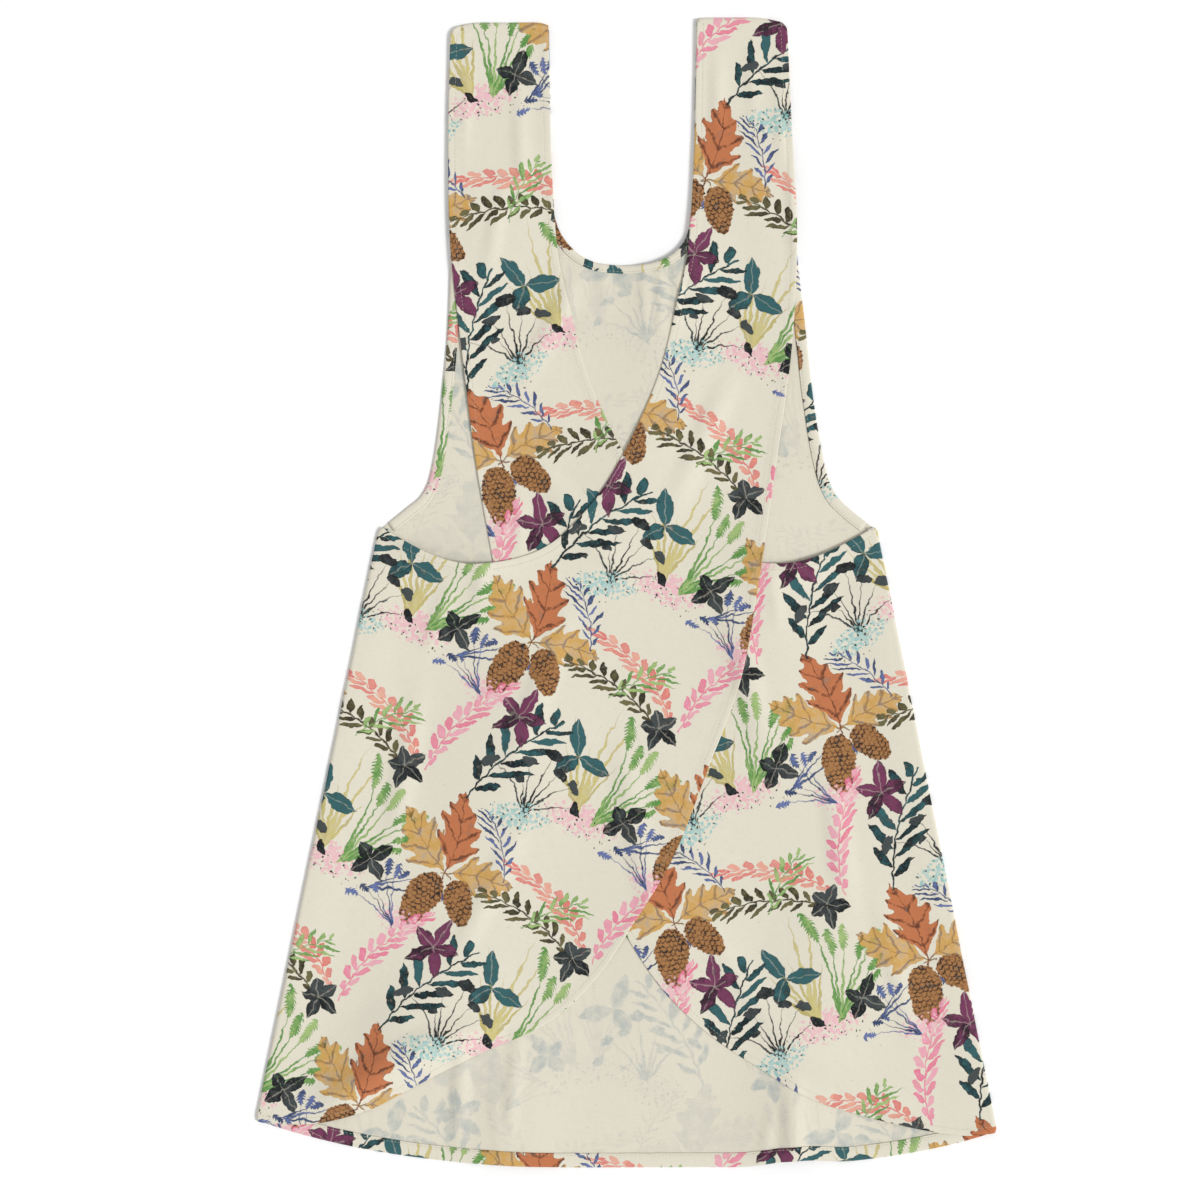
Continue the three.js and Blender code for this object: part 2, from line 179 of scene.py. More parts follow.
class ApronClothSettings(bpy.types.PropertyGroup):
    """Sizes of the cloth and of its hems."""

    thickness: FloatProperty(
        name="Cloth Thickness",
        description="Thickness of one layer of canvas",
        default=0.62 * MM,
        min=0.2 * MM,
        unit="LENGTH",
    )
    back_hem: FloatProperty(
        name="Back Hem",
        description="Width of the narrow hem round the back panels",
        default=6.6 * MM,
        unit="LENGTH",
    )
    neck_turn: FloatProperty(
        name="Neck Edge",
        description="Width of the front's turned edge at the neck",
        default=6 * MM,
        unit="LENGTH",
    )
    armhole_turn: FloatProperty(
        name="Armhole Edge",
        description="Width of the front's turned edge at the armholes",
        default=8 * MM,
        unit="LENGTH",
    )
    hem_turn: FloatProperty(
        name="Front Hem",
        description="Width of the front's turned edge at the hem",
        default=11 * MM,
        unit="LENGTH",
    )
    edge_step: FloatProperty(
        name="Edge Step",
        description="Spacing of the mesh's points along an edge",
        default=3 * MM,
        min=1 * MM,
        unit="LENGTH",
    )
    grid_step: FloatProperty(
        name="Grid Step",
        description="Spacing of the mesh's points inside the cloth",
        default=4.5 * MM,
        min=2 * MM,
        unit="LENGTH",
    )


class ApronStitchSettings(bpy.types.PropertyGroup):
    """Sizes of the topstitching."""

    length: FloatProperty(
        name="Stitch Length",
        description="Length of thread that shows in one stitch",
        default=2.3 * MM,
        unit="LENGTH",
    )
    gap: FloatProperty(
        name="Stitch Gap",
        description="Cloth between two stitches",
        default=0.7 * MM,
        unit="LENGTH",
    )
    radius: FloatProperty(
        name="Thread Radius",
        description="Radius of the sewing thread",
        default=0.17 * MM,
        unit="LENGTH",
    )
    inset: FloatProperty(
        name="Inset",
        description="Distance of the stitching from the inner edge of a hem",
        default=1.4 * MM,
        unit="LENGTH",
    )
    colour: FloatVectorProperty(
        name="Thread Colour",
        description="Colour of the sewing thread",
        default=(0.60, 0.56, 0.45),
        subtype="COLOR",
    )


class ApronPrintSettings(bpy.types.PropertyGroup):
    """Colours of the canvas and the turn of its grain."""

    ground: FloatVectorProperty(
        name="Ground",
        description="Colour of the bare canvas on its right side",
        default=(0.708, 0.666, 0.556),
        subtype="COLOR",
    )
    wrong_ground: FloatVectorProperty(
        name="Wrong Side",
        description="Colour of the canvas on its wrong side",
        default=(0.70, 0.655, 0.545),
        subtype="COLOR",
    )
    show_through: FloatVectorProperty(
        name="Show Through",
        description="Colour of the print where it shows through to the wrong side",
        default=(0.445, 0.475, 0.445),
        subtype="COLOR",
    )
    grain_turn: FloatProperty(
        name="Grain",
        description="Angle between the grain of a back panel and the middle of the apron",
        default=math.radians(20.6),
        subtype="ANGLE",
    )


class ApronStageSettings(bpy.types.PropertyGroup):
    """Floor, light and camera."""

    floor_size: FloatProperty(
        name="Floor Size",
        description="Width of the floor",
        default=24.0,
        unit="LENGTH",
    )
    floor_colour: FloatVectorProperty(
        name="Floor Colour",
        description="Colour of the floor",
        default=(0.945, 0.945, 0.945),
        subtype="COLOR",
    )
    view_width: FloatProperty(
        name="View Width",
        description="Width of floor that the camera sees",
        default=954.6 * MM,
        unit="LENGTH",
    )
    view_height: FloatProperty(
        name="Camera Height",
        description="Height of the camera above the floor",
        default=2.4,
        unit="LENGTH",
    )
    key_strength: FloatProperty(
        name="Key Light",
        description="Strength of the soft light on the right, in watts for each square metre",
        default=2.1,
        min=0.0,
    )
    key_spread: FloatProperty(
        name="Key Spread",
        description="Angle that the soft light spans",
        default=math.radians(18),
        subtype="ANGLE",
    )
    sky: FloatProperty(
        name="Sky",
        description="Strength of the light from all round",
        default=0.60,
    )


def outward_triangles(name):
    """Corners of a node's triangles, as an array of triangles by corners by X, Y and Z."""
    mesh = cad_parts[name].data
    mesh.calc_loop_triangles()
    points = np.empty(len(mesh.vertices) * 3)
    mesh.vertices.foreach_get("co", points)
    corners = np.empty(len(mesh.loop_triangles) * 3, np.int32)
    mesh.loop_triangles.foreach_get("vertices", corners)
    return points.reshape(-1, 3)[corners].reshape(-1, 3, 3)


def upper_triangles(names):
    """The triangles of some nodes that face up."""
    triangles = np.concatenate([outward_triangles(name) for name in names])
    normals = np.cross(triangles[:, 1] - triangles[:, 0], triangles[:, 2] - triangles[:, 0])
    upward = normals[:, 2] > FACES_UP * np.linalg.norm(normals, axis=1)
    return triangles[upward]


def free_edges(names):
    """The edges round the top of some nodes, from corner to corner, without the cut between nodes."""
    edges = set()
    for triangle in upper_triangles(names):
        keys = [tuple(np.round(corner[:2] / WELD).astype(int)) for corner in triangle]
        for start, end in zip(keys, keys[1:] + keys[:1]):
            if (end, start) in edges:
                edges.remove((end, start))
            else:
                edges.add((start, end))
    cut = (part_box(names[0])[1].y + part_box(names[1])[0].y) / 2 / WELD
    reach = CUT_GAP / 2 / WELD
    return {a: b for a, b in sorted(edges) if max(abs(a[1] - cut), abs(b[1] - cut)) > reach}


def frame_outline(names):
    """The corners of the outline of the nodes that make one cloth, anticlockwise."""
    follow = free_edges(names)
    start = point = min(follow)
    loop = []
    while follow:
        loop.append(point)
        end = follow.pop(point)
        nearest = min([start, *follow], key=lambda key: math.dist(key, end))
        if nearest == start:
            break
        point = nearest
    points = np.array(loop) * WELD
    apart = np.linalg.norm(points - np.roll(points, 1, 0), axis=1) > CUT_GAP
    points = points[apart]
    return points[np.abs(turns_of(points)) > STRAIGHT]


def turns_of(points):
    """The turn at each corner of a closed outline."""
    before = points - np.roll(points, 1, 0)
    after = np.roll(points, -1, 0) - points
    cross = before[:, 0] * after[:, 1] - before[:, 1] * after[:, 0]
    return np.arctan2(cross, (before * after).sum(1))


def smooth_run(points, step):
    """Points at even steps on a smooth curve through the given ones, without the last."""
    gaps = np.linalg.norm(np.diff(points, axis=0), axis=1)
    slopes = np.diff(points, axis=0) / gaps[:, None]
    tangents = np.empty_like(points)
    tangents[0] = slopes[0]
    tangents[-1] = slopes[-1]
    weight = (gaps[:-1] / (gaps[:-1] + gaps[1:]))[:, None]
    tangents[1:-1] = slopes[:-1] * (1 - weight) + slopes[1:] * weight
    fine = 10
    t = (np.arange(fine) / fine)[None, :, None]
    a, b = points[:-1, None], points[1:, None]
    da, db = (tangents[:-1] * gaps[:, None])[:, None], (tangents[1:] * gaps[:, None])[:, None]
    curve = (
        a * (1 + t * t * (2 * t - 3)) + b * t * t * (3 - 2 * t)
        + da * t * (1 - t) ** 2 - db * t * t * (1 - t)
    )
    curve = np.concatenate([curve.reshape(-1, 2), points[-1:]])
    along = np.concatenate([[0], np.cumsum(np.linalg.norm(np.diff(curve, axis=0), axis=1))])
    count = max(1, round(along[-1] / step))
    even = np.linspace(0, along[-1], count + 1)[:-1]
    return np.stack([np.interp(even, along, curve[:, axis]) for axis in (0, 1)], axis=1)


@cache
def cloth_outline(names, step):
    """The smooth outline of a cloth, anticlockwise, with its sharp corners kept."""
    corners = frame_outline(names)
    after = np.linalg.norm(np.roll(corners, -1, 0) - corners, axis=1) > LONG_EDGE
    sharp = (np.abs(turns_of(corners)) > CORNER) | after | np.roll(after, 1)
    breaks = np.flatnonzero(sharp)
    corners = np.roll(corners, -breaks[0], 0)
    breaks = [*(breaks - breaks[0]), len(corners)]
    closed = np.concatenate([corners, corners[:1]])
    runs = [smooth_run(closed[i : j + 1], step) for i, j in zip(breaks, breaks[1:])]
    return np.concatenate(runs)


def inward_normals(outline):
    """The direction into the cloth at each point of an anticlockwise outline."""
    along = np.roll(outline, -1, 0) - np.roll(outline, 1, 0)
    along /= np.linalg.norm(along, axis=1)[:, None]
    return np.stack([-along[:, 1], along[:, 0]], axis=1)


@cache
def seam_line(name):
    """The two ends of a rolled seam on the ground plan, the left one first."""
    points = outward_triangles(name).reshape(-1, 3)[:, :2]
    middle = points.mean(0)
    axis = np.linalg.svd(points - middle, full_matrices=False)[2][0]
    reach = (points - middle) @ axis
    ends = points[reach < reach.min() + MM].mean(0), points[reach > reach.max() - MM].mean(0)
    return sorted(ends, key=lambda end: end[0])


def distance_to_line(points, ends):
    """Distance of each point from the straight line between two ends."""
    start, end = ends
    run = end - start
    share = np.clip((points - start) @ run / (run @ run), 0, 1)
    return np.linalg.norm(points - start - share[:, None] * run, axis=1)


def sewn(points):
    """True for each point of an outline that lies at a side seam or a shoulder seam."""
    return from_seams(points) < SEWN_REACH


def inside(points, outline):
    """True for each point inside a closed outline."""
    result = np.zeros(len(points), bool)
    for a, b in zip(outline, np.roll(outline, -1, 0)):
        spans = (a[1] > points[:, 1]) != (b[1] > points[:, 1])
        if a[1] != b[1]:
            crossing = a[0] + (points[:, 1] - a[1]) / (b[1] - a[1]) * (b[0] - a[0])
            result ^= spans & (points[:, 0] < crossing)
    return result


class Grid(NamedTuple):
    """Heights over an even grid of points."""

    low: tuple
    values: np.ndarray

    def at(self, points):
        """Heights at some points, between the grid's own."""
        spot = (points - np.array(self.low)) / SAMPLE
        last = np.array(self.values.shape) - 1.001  # just inside the last cell
        spot = np.clip(spot, 0, last)
        cell = spot.astype(int)
        u, v = (spot - cell).T
        i, j = cell.T
        values = self.values
        return (
            values[i, j] * (1 - u) * (1 - v) + values[i + 1, j] * u * (1 - v)
            + values[i, j + 1] * (1 - u) * v + values[i + 1, j + 1] * u * v
        )


def spread(values, axis):
    """A grid with each line along an axis blurred."""
    reach = int(BLUR_REACH * BLUR / SAMPLE)
    result = np.zeros_like(values)
    padding = [(0, 0), (0, 0)]
    padding[axis] = (reach, reach)
    padded = np.pad(values, padding)
    for k in range(2 * reach + 1):
        weight = math.exp(-(((k - reach) * SAMPLE / BLUR) ** 2) / 2)
        result += weight * np.take(padded, range(k, k + values.shape[axis]), axis)
    return result


def blurred(values):
    """A blurred copy of a grid. Empty cells take no part, and are filled from their neighbours."""
    known = ~np.isnan(values)
    total = spread(spread(np.where(known, values, 0), 0), 1)
    weight = spread(spread(known.astype(float), 0), 1)
    return np.where(weight > BARE, total / np.maximum(weight, BARE), 0)


@cache
def sampled_tops(names):
    """Heights of the top of some nodes over the whole plan, with none where there is no cloth."""
    triangles = upper_triangles(names)
    corners = np.arange(len(triangles) * 3).reshape(-1, 3)
    tree = BVHTree.FromPolygons(triangles.reshape(-1, 3).tolist(), corners.tolist())
    low, high = CAD_BOX
    xs = np.arange(low.x - MARGIN * SAMPLE, high.x + (MARGIN + 1) * SAMPLE, SAMPLE)
    ys = np.arange(low.y - MARGIN * SAMPLE, high.y + (MARGIN + 1) * SAMPLE, SAMPLE)
    values = np.full((len(xs), len(ys)), np.nan)
    down = Vector((0, 0, -1))
    for i, x in enumerate(xs):
        for j, y in enumerate(ys):
            hit = tree.ray_cast(Vector((x, y, 1)), down)[0]
            if hit is not None:
                values[i, j] = hit.z
    return Grid((xs[0], ys[0]), values)


@cache
def drape():
    """Height of the underside of the lowest layer, blurred over its facets."""
    tops = sampled_tops(FRONT)
    return Grid(tops.low, blurred(tops.values - NODE_WALL))


def highest_near(values):
    """A grid in which each cell takes the highest value within a few cells of it."""
    padded = np.pad(values, HIGH_REACH)
    wide, deep = values.shape
    steps = range(2 * HIGH_REACH + 1)
    return np.max([padded[i : i + wide, j : j + deep] for i in steps for j in steps], axis=0)


def from_seams(points):
    """Distance of each point from the nearest rolled seam."""
    return np.min([distance_to_line(points, seam_line(name)) for name in SEAMS], axis=0)


def top_under(names, points):
    """Height of what a back panel lies on, over the underside of the lowest layer."""
    cloth = bpy.context.scene.apron_cloth
    under = np.full(len(points), NODE_WALL / 2 + cloth.thickness / 2)
    for path, _ in hem_runs(FRONT, SAMPLE):
        for place in path:
            under[np.linalg.norm(points - place, axis=1) < TURNED_REACH] = TURNED_TOP
    if LAYER[names] == 2:
        covered = inside(points, cloth_outline(RIGHT_BACK, SAMPLE))
        lower = layer_rise(RIGHT_BACK).at(points) + cloth.thickness
        under[covered] = np.maximum(under, lower)[covered]
    return under


@cache
def layer_rise(names):
    """Height of the middle of a cloth over the underside of the lowest layer.

    The nodes of the frame keep apart. Here each cloth lies down on what is under it, and has its
    node's height only along its seams.
    """
    grid = drape()
    if names == FRONT:
        return Grid(grid.low, np.full_like(grid.values, NODE_WALL / 2))
    over = sampled_tops(names).values - NODE_WALL / 2 - (sampled_tops(FRONT).values - NODE_WALL)
    node = blurred(over)
    places = np.indices(node.shape).reshape(2, -1).T * SAMPLE + np.array(grid.low)
    under = top_under(names, places).reshape(node.shape)
    half = bpy.context.scene.apron_cloth.thickness / 2
    lying = blurred(highest_near(under)) + REST_GAP + half
    share = np.clip((from_seams(places) - HELD_REACH) / SETTLE, 0, 1).reshape(node.shape)
    share = share * share * (3 - 2 * share)
    return Grid(grid.low, node + np.minimum(lying - node, 0) * share)


def relief(points, layer):
    """Height of the fine wrinkles in a layer. A layer takes on all those of the layers under it."""
    height = np.zeros(len(points))
    for wrinkle in WRINKLES:
        if wrinkle.layer > layer:
            continue
        turn = math.radians(wrinkle.turn)
        dx, dy = (points / MM - (wrinkle.x, wrinkle.y)).T
        along = (dx * math.cos(turn) + dy * math.sin(turn)) / wrinkle.half_length
        across = (dy * math.cos(turn) - dx * math.sin(turn)) / wrinkle.half_width
        hump = np.maximum(0, 1 - along**2) ** 2 * np.maximum(0, 1 - across**2) ** 2
        height += wrinkle.rise * RISE_SCALE * MM * hump
    uneven = [noise.noise(Vector((x, y, 0)) / GRAIN_SIZE) for x, y in points]
    height += GRAIN_RELIEF * (0.5 + 0.5 * np.array(uneven))
    return height * np.clip((from_seams(points) - SMOOTH_REACH) / WRINKLE_RUN, 0, 1) ** WRINKLE_START


def cloth_middle(points, names):
    """Height of the middle of a cloth, halfway through its thickness."""
    return drape().at(points) + layer_rise(names).at(points) + relief(points, LAYER[names])


# Filling a cloth with points
FOLLOWS = 0.98  # a row keeps a point if every edge is at least this share of the row away
CLEAR = 0.6  # the inner grid starts this share of its step past the last row
SAME_POINT = 1e-8  # points nearer than this are one


class Plan(NamedTuple):
    """A cloth on the ground plan, with each point's distance from the edge and place along it."""

    points: np.ndarray
    triangles: list
    inset: np.ndarray
    along: np.ndarray
    hemmed: np.ndarray


def cloth_plan(outline, rows, grid_step, edge_step):
    """Fills an outline with points: rows that follow its edge and a staggered grid inside them."""
    tree = KDTree(len(outline))
    for i, (x, y) in enumerate(outline):
        tree.insert((x, y, 0), i)
    tree.balance()
    normals = inward_normals(outline)
    points = [outline]
    insets = [np.zeros(len(outline))]
    for row in rows:
        moved = outline + normals * row
        near = np.array([tree.find((x, y, 0))[2] for x, y in moved])
        kept = moved[near > row * FOLLOWS]
        points.append(kept)
        insets.append(np.full(len(kept), row))
    low, high = outline.min(0), outline.max(0)
    xs = np.arange(low[0], high[0], grid_step)
    ys = np.arange(low[1], high[1], grid_step * math.sqrt(0.75))
    mesh = np.stack(np.meshgrid(xs, ys, indexing="ij"), axis=-1)
    mesh[:, 1::2, 0] += grid_step / 2
    mesh = mesh.reshape(-1, 2)
    mesh = mesh[inside(mesh, outline)]
    near = np.array([tree.find((x, y, 0))[2] for x, y in mesh])
    deep = near > rows[-1] + grid_step * CLEAR
    points.append(mesh[deep])
    insets.append(near[deep])
    everything = np.concatenate(points)
    ring = [(i, (i + 1) % len(outline)) for i in range(len(outline))]
    result = delaunay_2d_cdt([Vector(p) for p in everything], ring, [], 0, SAME_POINT, True)
    verts, _, faces, origins = result[:4]
    spots = np.array([tuple(v) for v in verts])
    corners = np.array(faces)
    kept = inside(spots[corners].mean(1), outline)
    nearest = np.array([tree.find((x, y, 0))[1] for x, y in spots])
    return Plan(
        spots,
        [tuple(face) for face in corners[kept].tolist()],
        np.concatenate(insets)[[origin[0] for origin in origins]],
        nearest * edge_step,
        ~sewn(outline)[nearest],
    )


def mesh_piece(name, points, faces, uvs, materials=(), looks=None):
    """A smooth mesh object with a UV map in metres of cloth. looks is each face's material."""
    mesh = bpy.data.meshes.new(name)
    mesh.from_pydata(np.asarray(points).tolist(), [], faces)
    mesh.polygons.foreach_set("use_smooth", [True] * len(mesh.polygons))
    for material in materials:
        mesh.materials.append(material)
    if looks is not None:
        mesh.polygons.foreach_set("material_index", looks)
    layer = mesh.uv_layers.new(name="cloth")
    corners = np.empty(len(mesh.loops), np.int32)
    mesh.loops.foreach_get("vertex_index", corners)
    layer.data.foreach_set("uv", np.asarray(uvs, np.float32)[corners].ravel())
    mesh.validate()
    mesh.update()
    piece = bpy.data.objects.new(name, mesh)
    bpy.context.scene.collection.objects.link(piece)
    return piece


def along_grain(points, turn, mirrored=False):
    """Places on the cloth's own grain, for the print."""
    x, y = np.asarray(points)[:, :2].T
    u = x * math.cos(turn) - y * math.sin(turn)
    v = x * math.sin(turn) + y * math.cos(turn)
    return np.stack([-u if mirrored else u, v], axis=1)


# Sections across the edge of a cloth
RIM_ROWS = (0.15 * MM, 0.5 * MM, 1.4 * MM, 3.2 * MM)  # rows of points that round the edge
INNER_ROW = 6 * MM  # one more row where there is no hem
HEM_STEP = 0.7 * MM  # the hem's fold ends within this
HEM_ROW = 0.4 * MM  # a row of points this far past the hem
GROOVE_HALF = 0.6 * MM  # rows of points this far to either side of the stitches
GROOVE_WIDTH = 0.55 * MM  # of the groove under the stitches
GROOVE_DEPTH = 0.75  # of the groove, as a share of half the cloth's thickness
PUCKER_LENGTH = 7 * MM
PUCKER = 0.5  # how much the puckers change the swell of a hem
UNDER_SHARE = 0.6  # how much of the swell shows on the underside


def hem_swell(plan, cloth, stitch):
    """Extra thickness of a narrow double hem, with a groove under its stitches and small puckers."""
    inner = cloth.back_hem
    doubled = np.clip((inner - plan.inset) / HEM_STEP, 0, 1)
    groove = np.exp(-(((plan.inset - inner + stitch.inset) / GROOVE_WIDTH) ** 2))
    pucker = [noise.noise(Vector((s / PUCKER_LENGTH, 0, 1))) for s in plan.along]
    swell = doubled * (1 + PUCKER * np.array(pucker)) - GROOVE_DEPTH * groove
    return swell * plan.hemmed * cloth.thickness * 0.5


def make_cloth(name, names, turn, face_up, face_down, hemmed, mirrored=False):
    """A closed sheet of canvas over the nodes that it is cut from."""
    scene = bpy.context.scene
    cloth = scene.apron_cloth
    outline = cloth_outline(names, cloth.edge_step)
    groove = cloth.back_hem - scene.apron_stitches.inset
    rows = [*RIM_ROWS]
    if hemmed:
        rows += [groove - GROOVE_HALF, groove, groove + GROOVE_HALF, cloth.back_hem + HEM_ROW]
    else:
        rows.append(INNER_ROW)
    plan = cloth_plan(outline, rows, cloth.grid_step, cloth.edge_step)
    middle = cloth_middle(plan.points, names)
    half = cloth.thickness / 2
    round_share = np.clip(plan.inset / half, 0, 1)
    wall = half * np.sqrt(1 - (1 - round_share) ** 2)
    top = middle + wall
    bottom = middle - wall
    if hemmed:
        swell = hem_swell(plan, cloth, scene.apron_stitches) * round_share
        top = top + swell
        bottom = bottom - np.maximum(swell, 0) * UNDER_SHARE
    count = len(plan.points)
    rim = plan.inset == 0
    below = np.where(rim, np.arange(count), count + np.cumsum(~rim) - 1)
    points = np.concatenate(
        [np.column_stack([plan.points, top]), np.column_stack([plan.points, bottom])[~rim]]
    )
    upper = plan.triangles
    lower = [tuple(int(below[i]) for i in reversed(face)) for face in upper]
    uvs = along_grain(points, turn, mirrored)
    looks = [0] * len(upper) + [1] * len(lower)
    return mesh_piece(name, points, upper + lower, uvs, (face_up, face_down), looks)


def hem_runs(names, step):
    """The stretches of a cloth's outline that aren't sewn to another cloth, in order."""
    outline = cloth_outline(names, step)
    normals = inward_normals(outline)
    free = ~sewn(outline)
    start = int(np.flatnonzero(free & ~np.roll(free, 1))[0])
    free = np.roll(free, -start)
    outline = np.roll(outline, -start, 0)
    normals = np.roll(normals, -start, 0)
    cuts = np.flatnonzero(free != np.roll(free, 1))
    ends = [*cuts[1:], len(free)]
    return [(outline[i:j], normals[i:j]) for i, j in zip(cuts, ends) if free[i]]


NECK_REACH = 60 * MM  # the neck's edge lies this near the middle of the apron


def place_of(run):
    """Which edge of the front a run of its outline is."""
    x, y = run.mean(0)
    if y < 0 and abs(x) < abs(y) / 2:
        return "hem"
    if abs(x) < NECK_REACH:
        return "neck"
    return "left_armhole" if x < 0 else "right_armhole"


def main_run(names, wanted, step):
    """The stretch of the front's outline of that name, with its inward normals."""
    runs = [run for run in hem_runs(names, step) if place_of(run[0]) == wanted]
    return max(runs, key=lambda run: len(run[0]))


# Section of a turned edge: share of its width from the fold, distance to add to that in
# millimetres, and height over the underside of the front in millimetres
TURNED_SECTION = (
    (1, 0.0, 0.86),
    (1, 0.2, 1.3),
    (1, -0.1, 1.72),
    (1, -0.7, 1.84),
    (1, -1.4, 1.6),
    (1, -2.1, 1.86),
    (0.5, 0.3, 2.0),
    (0, 1.3, 1.95),
    (0, 0.4, 1.6),
    (0, -0.2, 1.1),
    (0, -0.35, 0.6),
    (0, -0.2, 0.2),
    (0, 0.1, 0.03),
    (0, 0.4, 0.25),
    (0, 0.45, 0.86),
)
TURNED_WAVE = 14 * MM  # length of the small waves in a turned edge's width
WANDER = 0.25 * MM  # size of these waves, and of those in a rolled seam
TURNED_PRINT = (0.013, 0.021)  # what a turned edge shows of the print is shifted by this
EDGE_STITCH_INSET = 1.4 * MM  # of a turned edge's stitches from its inner side
EDGE_STITCH_LEVEL = 1.68 * MM  # and their height over the underside of the front


def swept(name, path, normals, section, base, uvs_of, material):
    """A closed tube with the given section, offset and height, swept along a path."""
    count = len(section)
    rings = []
    for spot, (offset, height) in enumerate(section):
        plan = path + normals * offset[:, None]
        rings.append(np.column_stack([plan, base(plan) + height]))
    points = np.stack(rings, axis=1).reshape(-1, 3)
    faces = []
    for i in range(len(path) - 1):
        for k in range(count):
            a, b = i * count + k, i * count + (k + 1) % count
            faces.append((a, b, b + count, a + count))
    faces.append(tuple(reversed(range(count))))
    faces.append(tuple(range(len(points) - count, len(points))))
    piece = mesh_piece(name, points, faces, uvs_of(points), (material,))
    outward(piece)
    return piece


def outward(piece):
    """Turns a closed mesh's faces outward."""
    work = bmesh.new()
    work.from_mesh(piece.data)
    bmesh.ops.recalc_face_normals(work, faces=work.faces)
    work.to_mesh(piece.data)
    work.free()


def front_underside(plan):
    """Height of the underside of the front panel with its wrinkles."""
    return drape().at(plan) + relief(plan, LAYER[FRONT])


def turned_edge(name, place, width):
    """The printed side of the front's cloth, folded up over its edge and stitched down."""
    path, normals = main_run(FRONT, place, bpy.context.scene.apron_cloth.edge_step)
    wander = np.array([noise.noise(Vector((x, y, 0)) / TURNED_WAVE) for x, y in path])
    section = [
        (share * width + shift * MM + wander * WANDER * share, height * MM)
        for share, shift, height in TURNED_SECTION
    ]
    piece = swept(
        name, path, normals, section, front_underside,
        lambda points: along_grain(points, 0) + TURNED_PRINT, printed_canvas(),
    )
    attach(piece, BODY)
    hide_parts(name)


# Section of a rolled seam: distance out from the edge of the cloth and height, in millimetres
ROLL_SECTION = (
    (-3.6, 3.1),
    (-3.1, 3.33),
    (-2.2, 3.4),
    (-1.2, 3.44),
    (0.3, 3.42),
    (1.3, 3.2),
    (2.1, 2.75),
    (2.65, 2.1),
    (2.7, 1.2),
    (2.2, 0.4),
    (1.2, 0.04),
    (-0.4, 0.04),
    (-0.4, 0.4),
    (1.2, 0.6),
    (1.9, 1.3),
    (1.8, 2.0),
    (1.2, 2.5),
    (0.2, 2.9),
    (-1.4, 3.05),
    (-3.0, 3.05),
)
ROLL_WAVE = 30 * MM  # length of the small waves in a rolled seam
SEAM_INSET = 1.5 * MM  # the cloth's edge lies this far inside the middle of the roll
WITHIN = np.array([0, -50 * MM])  # a place inside the apron, which tells a seam's outer side

# How each seam's left and right ends draw in: over which length and how far, in millimetres
SEAM_ENDS = {
    "left_side_seam": ((5, 1.6), (5, 1.6)),
    "right_side_seam": ((5, 1.6), (5, 1.6)),
    "left_shoulder_seam": ((17, 2.3), (9, 1.9)),
    "right_shoulder_seam": ((9, 1.0), (19, 2.4)),
}


def rolled_seam(name, turn):
    """The edge where the front and a back panel are sewn together and turned out."""
    start, end = seam_line(name)
    length = float(np.linalg.norm(end - start))
    count = round(length / bpy.context.scene.apron_cloth.edge_step)
    share = np.linspace(0, 1, count + 1)[:, None]
    path = start * (1 - share) + end * share
    run = (end - start) / length
    out = np.array([-run[1], run[0]])
    if out @ ((start + end) / 2 - WITHIN) < 0:
        out = -out
    path = path - out * SEAM_INSET
    wander = np.array([noise.noise(Vector((x, y, 2)) / ROLL_WAVE) for x, y in path])
    drawn_in = np.zeros(len(path))
    for from_end, (reach, depth) in zip((share[:, 0], 1 - share[:, 0]), SEAM_ENDS[name]):
        left = 1 - np.clip(from_end * length / (reach * MM), 0, 1)
        drawn_in += depth * MM * left**2
    section = [(d * MM + wander * WANDER - drawn_in, z * MM) for d, z in ROLL_SECTION]
    normals = np.tile(out, (len(path), 1))
    piece = swept(
        name, path, normals, section, lambda plan: np.zeros(len(plan)),
        lambda points: along_grain(points, turn), printed_canvas(),
    )
    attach(piece, BODY)
    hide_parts(name)


class Value:
    """A number that a shader works out. Arithmetic on it adds Math nodes to its tree."""

    def __init__(self, tree, socket):
        self.tree = tree
        self.socket = socket

    def math(self, operation, *others, clamp=False):
        """The result of a Math node whose first input is this value."""
        return add_math(self.tree, operation, self, *others, clamp=clamp)

    def __add__(self, other):
        return self.math("ADD", other)

    def __sub__(self, other):
        return self.math("SUBTRACT", other)

    def __rsub__(self, other):
        return add_math(self.tree, "SUBTRACT", other, self)

    def __mul__(self, other):
        return self.math("MULTIPLY", other)

    def __truediv__(self, other):
        return self.math("DIVIDE", other)

    def __rtruediv__(self, other):
        return add_math(self.tree, "DIVIDE", other, self)

    def __abs__(self):
        return self.math("ABSOLUTE")

    def times(self, factor, plus, clamp=False):
        """This value times a factor, plus a number, in one node."""
        return self.math("MULTIPLY_ADD", factor, plus, clamp=clamp)


def feed(tree, socket, value):
    """Links a value to a socket, or sets a plain number or colour on it."""
    if isinstance(value, Value):
        tree.links.new(value.socket, socket)
    else:
        socket.default_value = value


def add_math(tree, operation, *values, clamp=False):
    """A Math node on some values."""
    node = tree.nodes.new("ShaderNodeMath")
    node.operation = operation
    node.use_clamp = clamp
    for socket, value in zip(node.inputs, values):
        feed(tree, socket, value)
    return Value(tree, node.outputs[0])


def add_node(tree, kind, settings=None, **inputs):
    """A node with its settings and its inputs, which are named with _ for a space."""
    node = tree.nodes.new(kind)
    for key, value in (settings or {}).items():
        setattr(node, key, value)
    for key, value in inputs.items():
        feed(tree, node.inputs[key.replace("_", " ")], value)
    return node


def output(node, name=0):
    """One output of a node."""
    return Value(node.id_data, node.outputs[name])


def xy_of(place):
    """The X and Y of a place."""
    node = add_node(place.tree, "ShaderNodeSeparateXYZ", Vector=place)
    return output(node, "X"), output(node, "Y")


